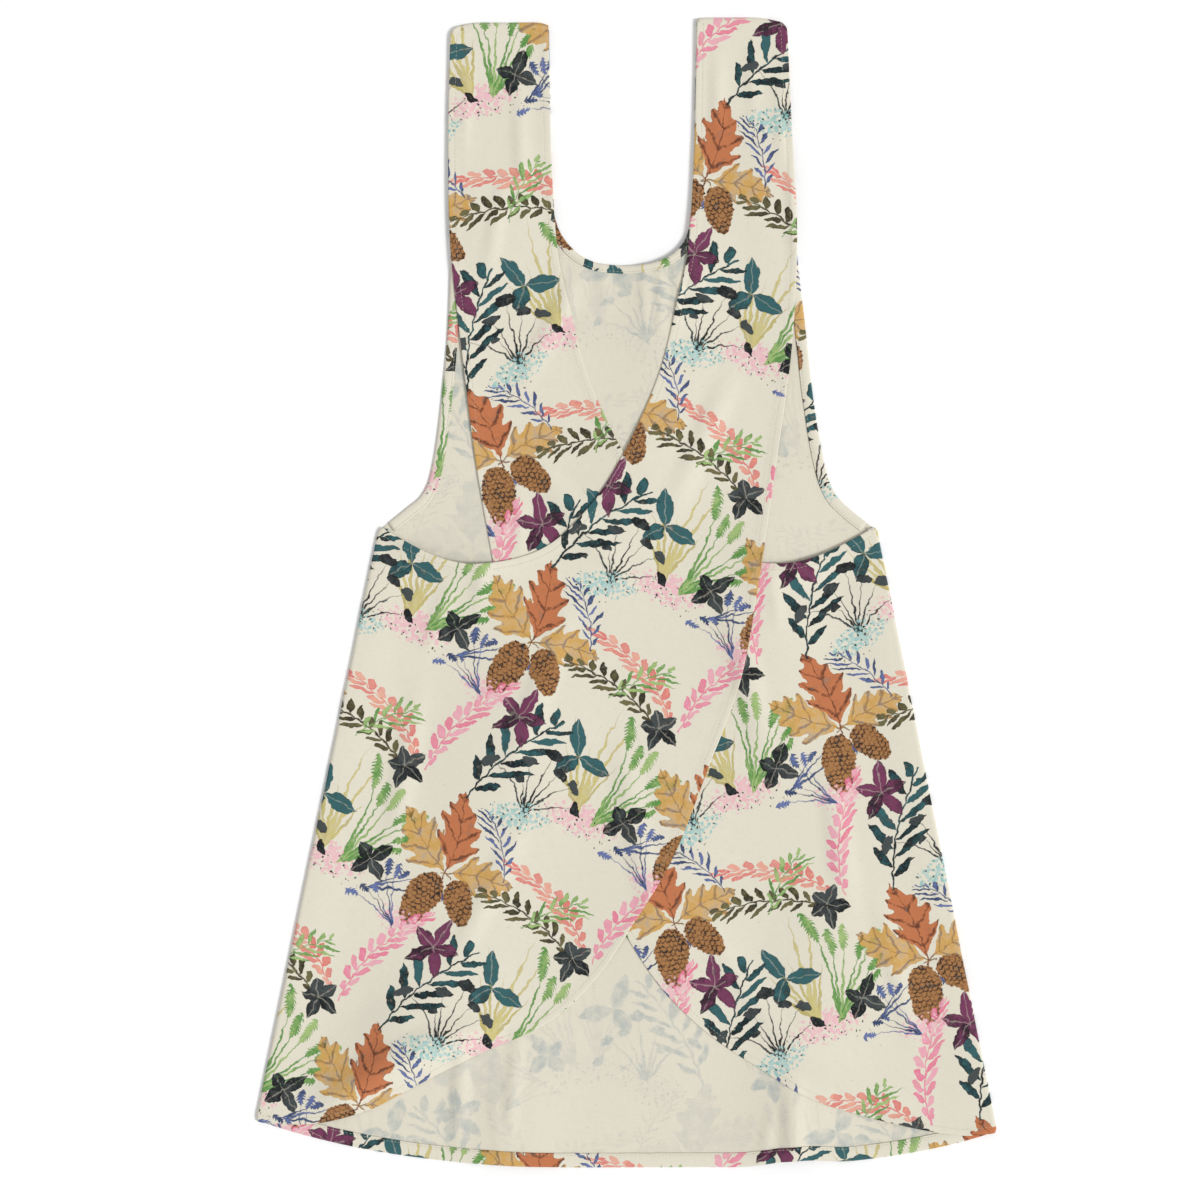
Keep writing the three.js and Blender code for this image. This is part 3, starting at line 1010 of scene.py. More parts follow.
def place_at(x, y):
    """A place with the given X and Y."""
    return output(add_node(x.tree, "ShaderNodeCombineXYZ", X=x, Y=y))


def vector_math(operation, first, *others):
    """A Vector Math node on some places."""
    node = first.tree.nodes.new("ShaderNodeVectorMath")
    node.operation = operation
    for socket, value in zip(node.inputs, (first, *others)):
        feed(first.tree, socket, value)
    return node


def length_of(place):
    """Distance of a place from the origin."""
    return output(vector_math("LENGTH", place), "Value")


def chances(value):
    """Three random numbers from 0 to 1 that go with a whole number."""
    node = add_node(value.tree, "ShaderNodeTexWhiteNoise", {"noise_dimensions": "1D"}, W=value)
    parts = add_node(value.tree, "ShaderNodeSeparateColor", Color=output(node, "Color"))
    return output(parts, "Red"), output(parts, "Green"), output(parts, "Blue")


def mixed(share, first, second):
    """A colour between two others."""
    node = share.tree.nodes.new("ShaderNodeMix")
    node.data_type = "RGBA"
    feed(share.tree, node.inputs["Factor"], share)
    feed(share.tree, node.inputs[6], first)
    feed(share.tree, node.inputs[7], second)
    return Value(share.tree, node.outputs[2])


def socket_kind(default):
    """The type of a group's socket, from its default."""
    if not isinstance(default, tuple):
        return "NodeSocketFloat"
    return "NodeSocketColor" if len(default) == 4 else "NodeSocketVector"


def group_of(name, build, inputs, outputs):
    """A shader node group, made once. build gets a value for each input and gives each output."""
    if name in bpy.data.node_groups:
        return bpy.data.node_groups[name]
    group = bpy.data.node_groups.new(name, "ShaderNodeTree")
    for label, default in inputs.items():
        kind = socket_kind(default)
        socket = group.interface.new_socket(name=label, in_out="INPUT", socket_type=kind)
        socket.default_value = default
    for label, default in outputs.items():
        kind = socket_kind(default)
        group.interface.new_socket(name=label, in_out="OUTPUT", socket_type=kind)
    given = group.nodes.new("NodeGroupInput")
    values = [Value(group, given.outputs[label]) for label in inputs]
    results = build(*values)
    end = group.nodes.new("NodeGroupOutput")
    for label, value in zip(outputs, results):
        feed(group, end.inputs[label], value)
    return group


def place_group(tree, group, **inputs):
    """A node that uses a group, with its inputs named with _ for a space."""
    return add_node(tree, "ShaderNodeGroup", {"node_tree": group}, **inputs)


def brush_mark(depth, sharp, tone):
    """Cover of a mark from the depth inside it. Paint gathers at its rim, which is darker."""
    rim = depth.times(-0.8, 1.0, clamp=True)
    return depth.times(sharp, 0.5, clamp=True), tone - rim * 0.5


def grass_tuft(place, sharp, length, bend, gap, blades, width, head, head_width, ragged, seed):
    """Blades or stems that rise from one root and bend outward, with a seed head on each."""
    x, y = xy_of(place)
    least = 0.65 / sharp  # taken off a half width, so that nothing is left of it at zero
    reach = length_of(place)
    share = reach / length
    lean = x.math("ARCTAN2", y) / (share * share).times(bend, 1)
    slot = lean / gap
    blade = slot.math("ROUND")
    long, stray, tone = chances(blade + seed)
    aside = stray.times(-0.7, 0.35) + (slot - blade)
    across = abs(aside * gap) * reach
    share = share / long.times(0.5, 0.5)
    stalk = (1 - share) * (width + least) - least * 0.46
    from_head = (share - 0.9) / head
    teeth = 1 - (reach + across).times(2.4, 0).math("SINE").times(-0.5, 0.5) * ragged
    oval = (1 - from_head * from_head).math("MAXIMUM", 0).math("SQRT")
    ear = oval * head_width * teeth - least
    within = (blades - abs(blade)).math("GREATER_THAN", -0.5)
    cover, shade = brush_mark(stalk.math("MAXIMUM", ear) - across, sharp, tone)
    return cover * within, shade


def leaf_spray(place, sharp, length, curl, leaf, width, pitch, tilt, stem, seed):
    """A stem that curls, with leaves on both sides that are longest in its middle."""
    x, y = xy_of(place)
    side_way = (y * y).times(curl * -1, x)
    off_stem = abs(side_way)
    side = side_way.math("SIGN")
    slot = off_stem.times(tilt * -1, y) / pitch + side * 0.25
    step = slot.math("ROUND")
    long, _, tone = chances(side.times(37, step) + seed)
    share = (step * pitch / length).times(2, -1)
    full = 1 - abs(share * share * share)
    leaf_share = off_stem / (full * long.times(0.4, 0.7) * leaf)
    bulge = (leaf_share - leaf_share * leaf_share) * 4
    blade = bulge * width - abs(slot - step) * pitch - 0.65 / sharp
    stalk = (stem - off_stem).math("MINIMUM", y).math("MINIMUM", length - y)
    return brush_mark(blade.math("MAXIMUM", stalk), sharp, tone)


def leaf_whorl(place, sharp, length, width, count, seed):
    """Broad leaves round one point, with a pale rib along each."""
    x, y = xy_of(place)
    reach = length_of(place)
    wedge = 2 * math.pi / count
    slot = x.math("ARCTAN2", y) / wedge
    step = slot.math("ROUND")
    long, _, tone = chances(step + seed)
    aside = (slot - step) * wedge
    along = aside.math("COSINE") * reach / (long.times(0.4, 0.6) * length)
    along = along.math("MINIMUM", 1.5)
    across = abs(aside.math("SINE") * reach)
    bulge = (along - along * along) * along.times(-1.2, 4.6)
    cover, shade = brush_mark(bulge * width - across, sharp, tone)
    rib = (across - 0.35).times(1.6, 0.5, clamp=True)
    return cover * rib.times(0.3, 0.7), shade


def dot_cloud(place, sharp, width, height, spacing, size, swell, seed):
    """A patch of dots that run together in its middle."""
    x, y = xy_of(place)
    patch = 1 - length_of(place_at(x / width, y / height))
    moved = place_at(x.times(1 / spacing, seed), y / spacing)
    cells = add_node(
        place.tree, "ShaderNodeTexVoronoi", {"voronoi_dimensions": "2D"}, Vector=moved, Scale=1.0
    )
    parts = add_node(place.tree, "ShaderNodeSeparateColor", Color=output(cells, "Color"))
    grown = patch.times(swell, size) * output(parts, "Red").times(0.6, 0.6)
    dot = ((grown - output(cells, "Distance")) * spacing).math("MINIMUM", patch * 6)
    return brush_mark(dot, sharp, output(parts, "Green").times(1.0, 0.2))


def pine_cone(place, sharp, length, width):
    """A cone that hangs from the origin, with rows of scales."""
    x, y = xy_of(place)
    share = y / length
    within = share - share * share
    bulge = within.math("MAXIMUM", 0).math("SQRT") * share.times(-0.7, 2.3)
    body = (bulge * width - abs(x)).math("MINIMUM", within * length)
    row = y * 0.27
    shift = row.math("FLOOR").math("MODULO", 2) * 0.5
    column = (x.times(0.24, shift)).math("FRACT") - 0.5
    scallop = row.math("FRACT") - (column * column).times(-2.6, 0.95)
    shade = abs(scallop).times(2.2, -0.1, clamp=True)
    ragged = shade.times(-0.8, 0.2)
    return (body + ragged).times(sharp, 0.5, clamp=True), shade


def lobed_leaf(place, sharp, length, width, lobes, curl):
    """A leaf with round lobes, ribs and a short stalk."""
    x, y = xy_of(place)
    side_way = abs((y * y).times(curl * -1, x))
    share = y / length
    round_lobes = (side_way.times(-0.9, y) / length * lobes * 2 * math.pi).math("COSINE")
    full = (share * math.pi).math("SINE")
    blade = full * width * round_lobes.times(-0.22, 0.78) - side_way
    inner = blade.math("MINIMUM", y).math("MINIMUM", length - y)
    stalk = (0.6 - side_way).math("MINIMUM", y + 9).math("MINIMUM", length - y)
    rib = (side_way - 0.3).math("MINIMUM", (round_lobes + 0.93) * 2.2).times(1.3, 0.3, clamp=True)
    return brush_mark(inner.math("MAXIMUM", stalk), sharp, rib)


# Each kind of motif with its sizes in millimetres and angles in radians
MOTIF_KINDS = {
    "grass tuft": (
        grass_tuft,
        {
            "Length": 80.0, "Bend": 0.5, "Gap": 0.16, "Blades": 3.0, "Width": 1.0,
            "Head": 0.1, "Head Width": 0.0, "Ragged": 0.5, "Seed": 0.0,
        },
    ),
    "leaf spray": (
        leaf_spray,
        {
            "Length": 90.0, "Curl": 0.004, "Leaf": 14.0, "Width": 2.0, "Pitch": 6.0,
            "Tilt": 0.5, "Stem": 0.45, "Seed": 0.0,
        },
    ),
    "leaf whorl": (
        leaf_whorl,
        {"Length": 18.0, "Width": 4.0, "Count": 5.0, "Seed": 0.0},
    ),
    "dot cloud": (
        dot_cloud,
        {
            "Width": 20.0, "Height": 12.0, "Spacing": 3.6, "Size": 0.25, "Swell": 0.5,
            "Seed": 0.0,
        },
    ),
    "pine cone": (pine_cone, {"Length": 34.0, "Width": 10.0}),
    "lobed leaf": (
        lobed_leaf,
        {"Length": 48.0, "Width": 15.0, "Lobes": 4.0, "Curl": 0.003},
    ),
}


class Ink(NamedTuple):
    """Two colours that a motif runs between, and how much of it shows on the wrong side."""

    first: tuple
    second: tuple
    show: float


INKS = {
    "black": Ink((0.004, 0.006, 0.007, 1), (0.055, 0.065, 0.066, 1), 1.0),
    "teal": Ink((0.004, 0.009, 0.011, 1), (0.032, 0.112, 0.122, 1), 0.9),
    "olive": Ink((0.40, 0.33, 0.08, 1), (0.56, 0.49, 0.20, 1), 0.3),
    "grass": Ink((0.10, 0.26, 0.06, 1), (0.34, 0.47, 0.18, 1), 0.4),
    "violet": Ink((0.03, 0.05, 0.12, 1), (0.13, 0.17, 0.36, 1), 0.6),
    "coral": Ink((0.64, 0.10, 0.10, 1), (0.74, 0.36, 0.27, 1), 0.3),
    "pink": Ink((0.72, 0.12, 0.24, 1), (0.77, 0.36, 0.44, 1), 0.3),
    "blossom": Ink((0.76, 0.40, 0.47, 1), (0.78, 0.50, 0.52, 1), 0.15),
    "aqua": Ink((0.20, 0.47, 0.45, 1), (0.42, 0.58, 0.56, 1), 0.2),
    "bark": Ink((0.024, 0.010, 0.006, 1), (0.36, 0.17, 0.062, 1), 0.45),
    "ochre": Ink((0.16, 0.07, 0.025, 1), (0.58, 0.34, 0.10, 1), 0.25),
    "rust": Ink((0.12, 0.035, 0.015, 1), (0.50, 0.17, 0.07, 1), 0.4),
    "plum": Ink((0.020, 0.008, 0.016, 1), (0.17, 0.038, 0.095, 1), 0.9),
    "moss": Ink((0.030, 0.027, 0.012, 1), (0.15, 0.13, 0.055, 1), 0.5),
}


class Motif(NamedTuple):
    """One motif of the print: its kind, its place in the repeat in millimetres, its turn in
    degrees, anticlockwise from upright, its ink, and the sizes that differ from its kind's."""

    kind: str
    x: float
    y: float
    turn: float
    ink: str
    sizes: dict


REPEAT_ACROSS = 178.0  # of the print, in millimetres
REPEAT_DOWN = 196.0

PRINT = (
    Motif("dot cloud", 30, 14, 0, "blossom", {"Width": 32, "Height": 14, "Swell": 0.6, "Seed": 3}),
    Motif(
        "grass tuft", 24, 16, 8, "olive",
        {"Length": 104, "Width": 2.2, "Gap": 0.14, "Seed": 1},
    ),
    Motif(
        "grass tuft", 38, 12, -34, "grass",
        {"Length": 92, "Gap": 0.13, "Width": 1.5, "Head": 0.15, "Head Width": 4.2, "Seed": 9},
    ),
    Motif("leaf whorl", 10, 60, 20, "teal", {"Length": 32, "Width": 6.6, "Count": 3, "Seed": 2}),
    Motif(
        "grass tuft", 66, 2, -62, "violet",
        {
            "Length": 72, "Gap": 0.19, "Width": 1.0, "Blades": 1, "Head": 0.15,
            "Head Width": 3.6, "Seed": 5,
        },
    ),
    Motif("leaf whorl", 62, 24, 50, "black", {"Length": 24, "Width": 5.6, "Count": 4, "Seed": 12}),
    Motif("lobed leaf", 120, 36, 60, "ochre", {"Length": 58, "Width": 20}),
    Motif("lobed leaf", 122, 38, -6, "rust", {"Length": 62, "Width": 20, "Curl": -0.004}),
    Motif("lobed leaf", 126, 36, -72, "ochre", {"Length": 50, "Width": 17, "Curl": 0.004}),
    Motif("pine cone", 116, 32, 166, "bark", {"Length": 48, "Width": 14}),
    Motif("pine cone", 130, 32, 212, "bark", {"Length": 38, "Width": 12}),
    Motif(
        "leaf spray", 70, 108, 28, "coral",
        {
            "Length": 88, "Leaf": 12, "Width": 3.8, "Pitch": 8.2, "Curl": -0.007, "Tilt": 0.8,
            "Stem": 0.6, "Seed": 2,
        },
    ),
    Motif(
        "leaf spray", 78, 106, -2, "pink",
        {
            "Length": 94, "Leaf": 13, "Width": 4.0, "Pitch": 8.6, "Curl": 0.005, "Tilt": 0.9,
            "Stem": 0.6, "Seed": 7,
        },
    ),
    Motif(
        "leaf spray", 62, 102, 52, "moss",
        {
            "Length": 96, "Leaf": 14, "Width": 3.4, "Pitch": 8.6, "Curl": -0.0045, "Tilt": 0.8,
            "Stem": 0.7, "Seed": 14,
        },
    ),
    Motif(
        "leaf spray", 116, 96, -16, "teal",
        {
            "Length": 96, "Leaf": 27, "Width": 4.8, "Pitch": 14, "Tilt": 0.9, "Curl": 0.003,
            "Stem": 0.8, "Seed": 4,
        },
    ),
    Motif(
        "grass tuft", 162, 100, -8, "black",
        {
            "Length": 62, "Gap": 0.24, "Width": 0.9, "Head": 0.07, "Head Width": 5.6,
            "Ragged": 0.0, "Bend": 0.7, "Seed": 6,
        },
    ),
    Motif("dot cloud", 160, 98, 12, "aqua", {"Width": 26, "Height": 11, "Spacing": 3.2, "Seed": 21}),
    Motif("leaf whorl", 134, 172, -12, "plum", {"Length": 27, "Width": 5.4, "Count": 5, "Seed": 15}),
    Motif("leaf whorl", 62, 104, 30, "black", {"Length": 22, "Width": 5.0, "Count": 5, "Seed": 52}),
    Motif(
        "leaf spray", 168, 44, 14, "violet",
        {
            "Length": 54, "Leaf": 14, "Width": 2.2, "Pitch": 7.4, "Tilt": 1.0, "Curl": -0.006,
            "Seed": 25,
        },
    ),
    Motif(
        "leaf spray", 16, 112, -30, "grass",
        {
            "Length": 52, "Leaf": 15, "Width": 2.6, "Pitch": 8, "Tilt": 1.1, "Curl": 0.006,
            "Seed": 33,
        },
    ),
    Motif("dot cloud", 100, 182, -10, "blossom", {"Width": 20, "Height": 11, "Seed": 44}),
    Motif(
        "dot cloud", 156, 96, 20, "black",
        {"Width": 28, "Height": 14, "Spacing": 5.6, "Size": 0.09, "Swell": 0.06, "Seed": 61},
    ),
    Motif(
        "dot cloud", 32, 10, -8, "black",
        {"Width": 36, "Height": 12, "Spacing": 6.4, "Size": 0.08, "Swell": 0.06, "Seed": 73},
    ),
    Motif(
        "grass tuft", 98, 176, 44, "violet",
        {
            "Length": 58, "Gap": 0.17, "Width": 0.7, "Blades": 2, "Head": 0.12,
            "Head Width": 2.8, "Bend": 0.9, "Seed": 83,
        },
    ),
)


def repeated(place, across, down, angle):
    """A place within the repeat of a half-drop print, from the middle of one motif."""
    x, y = xy_of(place)
    x = x - across
    column = (x / REPEAT_ACROSS).math("ROUND")
    x = column.times(-REPEAT_ACROSS, x)
    y = column.times(REPEAT_DOWN / 2, y - down)
    y = y.math("WRAP", REPEAT_DOWN / 2, -REPEAT_DOWN / 2)
    near = place_at(x, y)
    turned = add_node(
        place.tree, "ShaderNodeVectorRotate", {"rotation_type": "Z_AXIS"}, Vector=near,
        Angle=-angle,
    )
    return output(turned)


def botanical_print(place, ground, softness):
    """A scattered print of leaves, grasses, cones and blossom, as if painted with a wet brush."""
    tree = place.tree
    wobble = add_node(
        tree, "ShaderNodeTexNoise", {"noise_dimensions": "2D"}, Vector=place, Scale=0.13, Detail=2.5
    )
    shift = vector_math("SUBTRACT", output(wobble, "Color"), (0.5, 0.5, 0.5))
    painted = vector_math("SCALE", output(shift))
    painted.inputs["Scale"].default_value = 5.0
    spot = output(vector_math("ADD", place, output(painted)))
    wash = add_node(
        tree, "ShaderNodeTexNoise", {"noise_dimensions": "2D"}, Vector=place, Scale=0.11, Detail=3.0
    )
    speckle = add_node(
        tree, "ShaderNodeTexNoise", {"noise_dimensions": "2D"}, Vector=place, Scale=0.5, Detail=2.0
    )
    paint = output(wash, "Fac") * 0.8 + output(speckle, "Fac") * 0.4
    thin = paint.times(1.0, 0.3, clamp=True)
    strong = paint.times(1.0, 0.52, clamp=True)
    pooled = paint.times(2.7, -1.45)
    sharp = 1 / softness
    colour = ground
    shown = 0.0
    for motif in PRINT:
        build, sizes = MOTIF_KINDS[motif.kind]
        basic = {"Place": (0.0, 0.0, 0.0), "Sharpness": 1.0}
        group = group_of(motif.kind, build, basic | sizes, {"Cover": 0.0, "Shade": 0.0})
        local = repeated(spot, motif.x, motif.y, math.radians(motif.turn))
        node = place_group(tree, group, Place=local, Sharpness=sharp)
        for label, size in motif.sizes.items():
            node.inputs[label].default_value = size
        ink = INKS[motif.ink]
        cover = output(node, "Cover") * (strong if ink.show > 0.35 else thin)
        shade = add_math(tree, "ADD", output(node, "Shade"), pooled, clamp=True)
        colour = mixed(cover, colour, mixed(shade, ink.first, ink.second))
        shown = (cover * ink.show).math("MAXIMUM", shown)
    return colour, shown


def canvas_weave(place, thread_pitch):
    """Plain weave: the height of its threads, its uneven yarn and its dark flecks of seed husk."""
    tree = place.tree
    x, y = xy_of(place)
    beat = 2 * math.pi / thread_pitch
    warp = (x * beat).math("SINE")
    weft = (y * beat).math("SINE")
    over = (x * beat * 0.5).math("SINE") * (y * beat * 0.5).math("SINE")
    threads = (warp + weft).times(0.3, over * 0.4)
    yarns = []
    for across, along in ((1.1, 0.09), (0.09, 1.1)):
        stretched = vector_math("MULTIPLY", place, (across, along, 1.0))
        slub = add_node(
            tree, "ShaderNodeTexNoise", {"noise_dimensions": "2D"}, Vector=output(stretched),
            Scale=1.0, Detail=3.0, Roughness=0.7,
        )
        yarns.append(output(slub, "Fac"))
    slubs = (yarns[0] + yarns[1]) * 0.5
    cells = add_node(
        tree, "ShaderNodeTexVoronoi", {"voronoi_dimensions": "2D"}, Vector=place, Scale=0.16
    )
    parts = add_node(tree, "ShaderNodeSeparateColor", Color=output(cells, "Color"))
    size = output(parts, "Red").times(0.11, -0.045)
    fleck = (size - output(cells, "Distance")).times(24, 0.0, clamp=True)
    return threads, slubs, fleck * output(parts, "Green")


def canvas_material(name, make_colour, roughness):
    """Cotton canvas: its colour over the cloth's own UV map, its yarn, its flecks and its weave."""
    if name in bpy.data.materials:
        return bpy.data.materials[name]
    material = bpy.data.materials.new(name)
    material.use_nodes = True
    tree = material.node_tree
    shader = tree.nodes["Principled BSDF"]
    uv = add_node(tree, "ShaderNodeUVMap", {"uv_map": "cloth"})
    scaled = vector_math("SCALE", output(uv))
    scaled.inputs["Scale"].default_value = 1 / MM
    place = output(scaled)
    colour = make_colour(tree, place)
    weave = group_of(
        "canvas weave", canvas_weave,
        {"Place": (0.0, 0.0, 0.0), "Thread Pitch": 0.75},
        {"Threads": 0.0, "Slubs": 0.0, "Flecks": 0.0},
    )
    threads = place_group(tree, weave, Place=place)
    light = output(threads, "Slubs").times(0.22, 0.89)
    brightness = add_node(tree, "ShaderNodeCombineColor", Red=light, Green=light, Blue=light * 0.995)
    shaded = tree.nodes.new("ShaderNodeMix")
    shaded.data_type = "RGBA"
    shaded.blend_type = "MULTIPLY"
    shaded.inputs["Factor"].default_value = 1.0
    feed(tree, shaded.inputs[6], colour)
    feed(tree, shaded.inputs[7], output(brightness))
    husk = (0.11, 0.075, 0.04, 1)
    final = mixed(output(threads, "Flecks") * 0.85, Value(tree, shaded.outputs[2]), husk)
    feed(tree, shader.inputs["Base Color"], final)
    feed(tree, shader.inputs["Roughness"], output(threads, "Slubs").times(0.2, roughness - 0.1))
    shader.inputs["Specular IOR Level"].default_value = 0.22
    shader.inputs["Sheen Weight"].default_value = 0.12
    shader.inputs["Sheen Roughness"].default_value = 0.6
    height = output(threads, "Slubs").times(0.8, output(threads, "Threads"))
    bump = add_node(tree, "ShaderNodeBump", Height=height, Strength=0.35)
    bump.inputs["Distance"].default_value = 0.12 * MM
    feed(tree, shader.inputs["Normal"], output(bump))
    return material


def print_node(tree, place, ground, softness):
    """The print in a material, over a ground of the given colour."""
    group = group_of(
        "botanical print", botanical_print,
        {"Place": (0.0, 0.0, 0.0), "Ground": (0.7, 0.65, 0.5, 1.0), "Softness": 0.6},
        {"Colour": (0.0, 0.0, 0.0, 1.0), "Ink": 0.0},
    )
    return place_group(tree, group, Place=place, Ground=ground, Softness=softness)


def printed_canvas():
    """The right side of the cloth, with its print."""
    ground = (*bpy.context.scene.apron_print.ground, 1)
    return canvas_material(
        "printed canvas",
        lambda tree, place: output(print_node(tree, place, ground, 0.6), "Colour"),
        0.9,
    )


def wrong_side_canvas():
    """The wrong side of the cloth, where the print shows through, pale and blurred."""
    settings = bpy.context.scene.apron_print
    ground = (*settings.wrong_ground, 1)

    def colour(tree, place):
        shown = output(print_node(tree, place, ground, 2.1), "Ink")
        patchy = add_node(
            tree, "ShaderNodeTexNoise", {"noise_dimensions": "2D"}, Vector=place, Scale=0.1,
            Detail=6.0, Roughness=0.68,
        )
        share = shown * output(patchy, "Fac").times(2.4, -0.55, clamp=True)
        return mixed(share, ground, (*settings.show_through, 1))

    return canvas_material("wrong side canvas", colour, 0.93)


def cotton_thread():
    """Twisted sewing thread, with painted shade that darkens it between its strands."""
    name = "cotton thread"
    if name in bpy.data.materials:
        return bpy.data.materials[name]
    material = bpy.data.materials.new(name)
    material.use_nodes = True
    tree = material.node_tree
    shader = tree.nodes["Principled BSDF"]
    coordinates = add_node(tree, "ShaderNodeTexCoord")
    strands = add_node(
        tree, "ShaderNodeTexNoise", Vector=output(coordinates, "Object"), Scale=2200.0, Detail=2.0
    )
    colour = bpy.context.scene.apron_stitches.colour
    # painted shade: a darker copy of the thread colour, mixed in by noise where the strands part
    dark = (colour[0] * 0.7, colour[1] * 0.68, colour[2] * 0.62, 1)
    feed(tree, shader.inputs["Base Color"], mixed(output(strands, "Fac"), dark, (*colour, 1)))
    feed(tree, shader.inputs["Roughness"], output(strands, "Fac").times(0.2, 0.6))
    bump = add_node(tree, "ShaderNodeBump", Height=output(strands, "Fac"), Strength=0.3)
    bump.inputs["Distance"].default_value = 0.05 * MM
    feed(tree, shader.inputs["Normal"], output(bump))
    return material


def stitch_tree():
    """Geometry nodes that lay one small capsule of thread for each stitch along an edge."""
    name = "stitches"
    if name in bpy.data.node_groups:
        return bpy.data.node_groups[name]
    tree = bpy.data.node_groups.new(name, "GeometryNodeTree")
    kinds = {
        "Geometry": "NodeSocketGeometry",
        "Stitch Length": "NodeSocketFloat",
        "Stitch Gap": "NodeSocketFloat",
        "Thread Radius": "NodeSocketFloat",
        "Thread": "NodeSocketMaterial",
    }
    for label, kind in kinds.items():
        tree.interface.new_socket(name=label, in_out="INPUT", socket_type=kind)
    tree.interface.new_socket(
        name="Geometry", in_out="OUTPUT", socket_type="NodeSocketGeometry"
    )
    given = tree.nodes.new("NodeGroupInput")
    guide, length, gap, radius, thread = [output(given, label) for label in kinds]
    curve = add_node(tree, "GeometryNodeMeshToCurve", Mesh=guide)
    spaced = add_node(
        tree, "GeometryNodeResampleCurve", {"mode": "LENGTH"}, Curve=output(curve),
        Length=length + gap,
    )
    ball = add_node(tree, "GeometryNodeMeshUVSphere", Segments=6, Rings=4, Radius=1.0)
    size = add_node(tree, "ShaderNodeCombineXYZ", X=length * 0.5, Y=radius, Z=radius)
    tangent = add_node(tree, "GeometryNodeInputTangent")
    turn = add_node(
        tree, "FunctionNodeAlignRotationToVector", {"axis": "X"}, Vector=output(tangent)
    )
    laid = add_node(
        tree, "GeometryNodeInstanceOnPoints", Points=output(spaced), Instance=output(ball),
        Rotation=output(turn), Scale=output(size),
    )
    real = add_node(tree, "GeometryNodeRealizeInstances", Geometry=output(laid))
    painted = add_node(
        tree, "GeometryNodeSetMaterial", Geometry=output(real), Material=thread
    )
    result = tree.nodes.new("NodeGroupOutput")
    feed(tree, result.inputs["Geometry"], output(painted))
    return tree


def stitched(name, paths):
    """Stitches along some paths, as one plain mesh that rides on the apron."""
    points = np.concatenate(paths)
    edges = []
    first = 0
    for path in paths:
        edges += [(first + i, first + i + 1) for i in range(len(path) - 1)]
        first += len(path)
    guide_mesh = bpy.data.meshes.new(name + "_guide")
    guide_mesh.from_pydata(points.tolist(), edges, [])
    guide = bpy.data.objects.new(name + "_guide", guide_mesh)
    bpy.context.scene.collection.objects.link(guide)
    settings = bpy.context.scene.apron_stitches
    modifier = guide.modifiers.new("stitches", "NODES")
    modifier.node_group = stitch_tree()
    values = {
        "Stitch Length": settings.length,
        "Stitch Gap": settings.gap,
        "Thread Radius": settings.radius,
        "Thread": cotton_thread(),
    }
    for item in modifier.node_group.interface.items_tree:
        if item.in_out == "INPUT" and item.name in values:
            modifier[item.identifier] = values[item.name]
    graph = bpy.context.evaluated_depsgraph_get()
    mesh = bpy.data.meshes.new_from_object(guide.evaluated_get(graph))
    if not mesh.polygons:
        raise RuntimeError(f"{name} has no stitches")
    mesh.name = name
    piece = bpy.data.objects.new(name, mesh)
    bpy.context.scene.collection.objects.link(piece)
    bpy.data.objects.remove(guide)
    mesh.polygons.foreach_set("use_smooth", [True] * len(mesh.polygons))
    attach(piece, BODY)
    return piece


HEM_STITCH_LEVEL = 0.62  # height of a hem's stitches over its middle, in thicknesses of the cloth
STITCH_FOLLOWS = 0.9  # a line of stitches keeps at least this share of its inset


def hem_stitch_paths(names):
    """Lines of topstitching round the free edges of a back panel."""
    scene = bpy.context.scene
    cloth = scene.apron_cloth
    inset = cloth.back_hem - scene.apron_stitches.inset
    paths = []
    for path, normals in hem_runs(names, cloth.edge_step):
        line = path + normals * inset
        near = np.array([np.linalg.norm(path - p, axis=1).min() for p in line])
        line = line[near > inset * STITCH_FOLLOWS]
        height = cloth_middle(line, names) + cloth.thickness * HEM_STITCH_LEVEL
        paths.append(np.column_stack([line, height]))
    return paths


def edge_stitch_path(place, width):
    """The line of stitching that holds down a turned edge of the front."""
    scene = bpy.context.scene
    path, normals = main_run(FRONT, place, scene.apron_cloth.edge_step)
    line = path + normals * (width - EDGE_STITCH_INSET)
    return np.column_stack([line, front_underside(line) + EDGE_STITCH_LEVEL])


class APRON_OT_front_panel(bpy.types.Operator):
    """Make the front panel, wrong side up"""

    bl_idname = "apron.front_panel"
    bl_label = "Front Panel"

    def execute(self, context):
        piece = make_cloth(
            "front_cloth", FRONT, 0, wrong_side_canvas(), printed_canvas(), False, mirrored=True
        )
        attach(piece, BODY)
        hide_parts(*FRONT)
        return {"FINISHED"}


class APRON_OT_back_panels(bpy.types.Operator):
    """Make the two back panels, each in one with its strap"""

    bl_idname = "apron.back_panels"
    bl_label = "Back Panels"

    def execute(self, context):
        turn = context.scene.apron_print.grain_turn
        for name, names, angle in (
            ("right_back_cloth", RIGHT_BACK, -turn),
            ("left_back_cloth", LEFT_BACK, turn),
        ):
            piece = make_cloth(name, names, angle, printed_canvas(), wrong_side_canvas(), True)
            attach(piece, BODY)
            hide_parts(*names)
        return {"FINISHED"}


class APRON_OT_turned_edges(bpy.types.Operator):
    """Make the turned edges of the front panel"""

    bl_idname = "apron.turned_edges"
    bl_label = "Turned Edges"

    def execute(self, context):
        cloth = context.scene.apron_cloth
        turned_edge("neck_facing", "neck", cloth.neck_turn)
        turned_edge("left_armhole_facing", "left_armhole", cloth.armhole_turn)
        turned_edge("right_armhole_facing", "right_armhole", cloth.armhole_turn)
        turned_edge("front_hem", "hem", cloth.hem_turn)
        return {"FINISHED"}


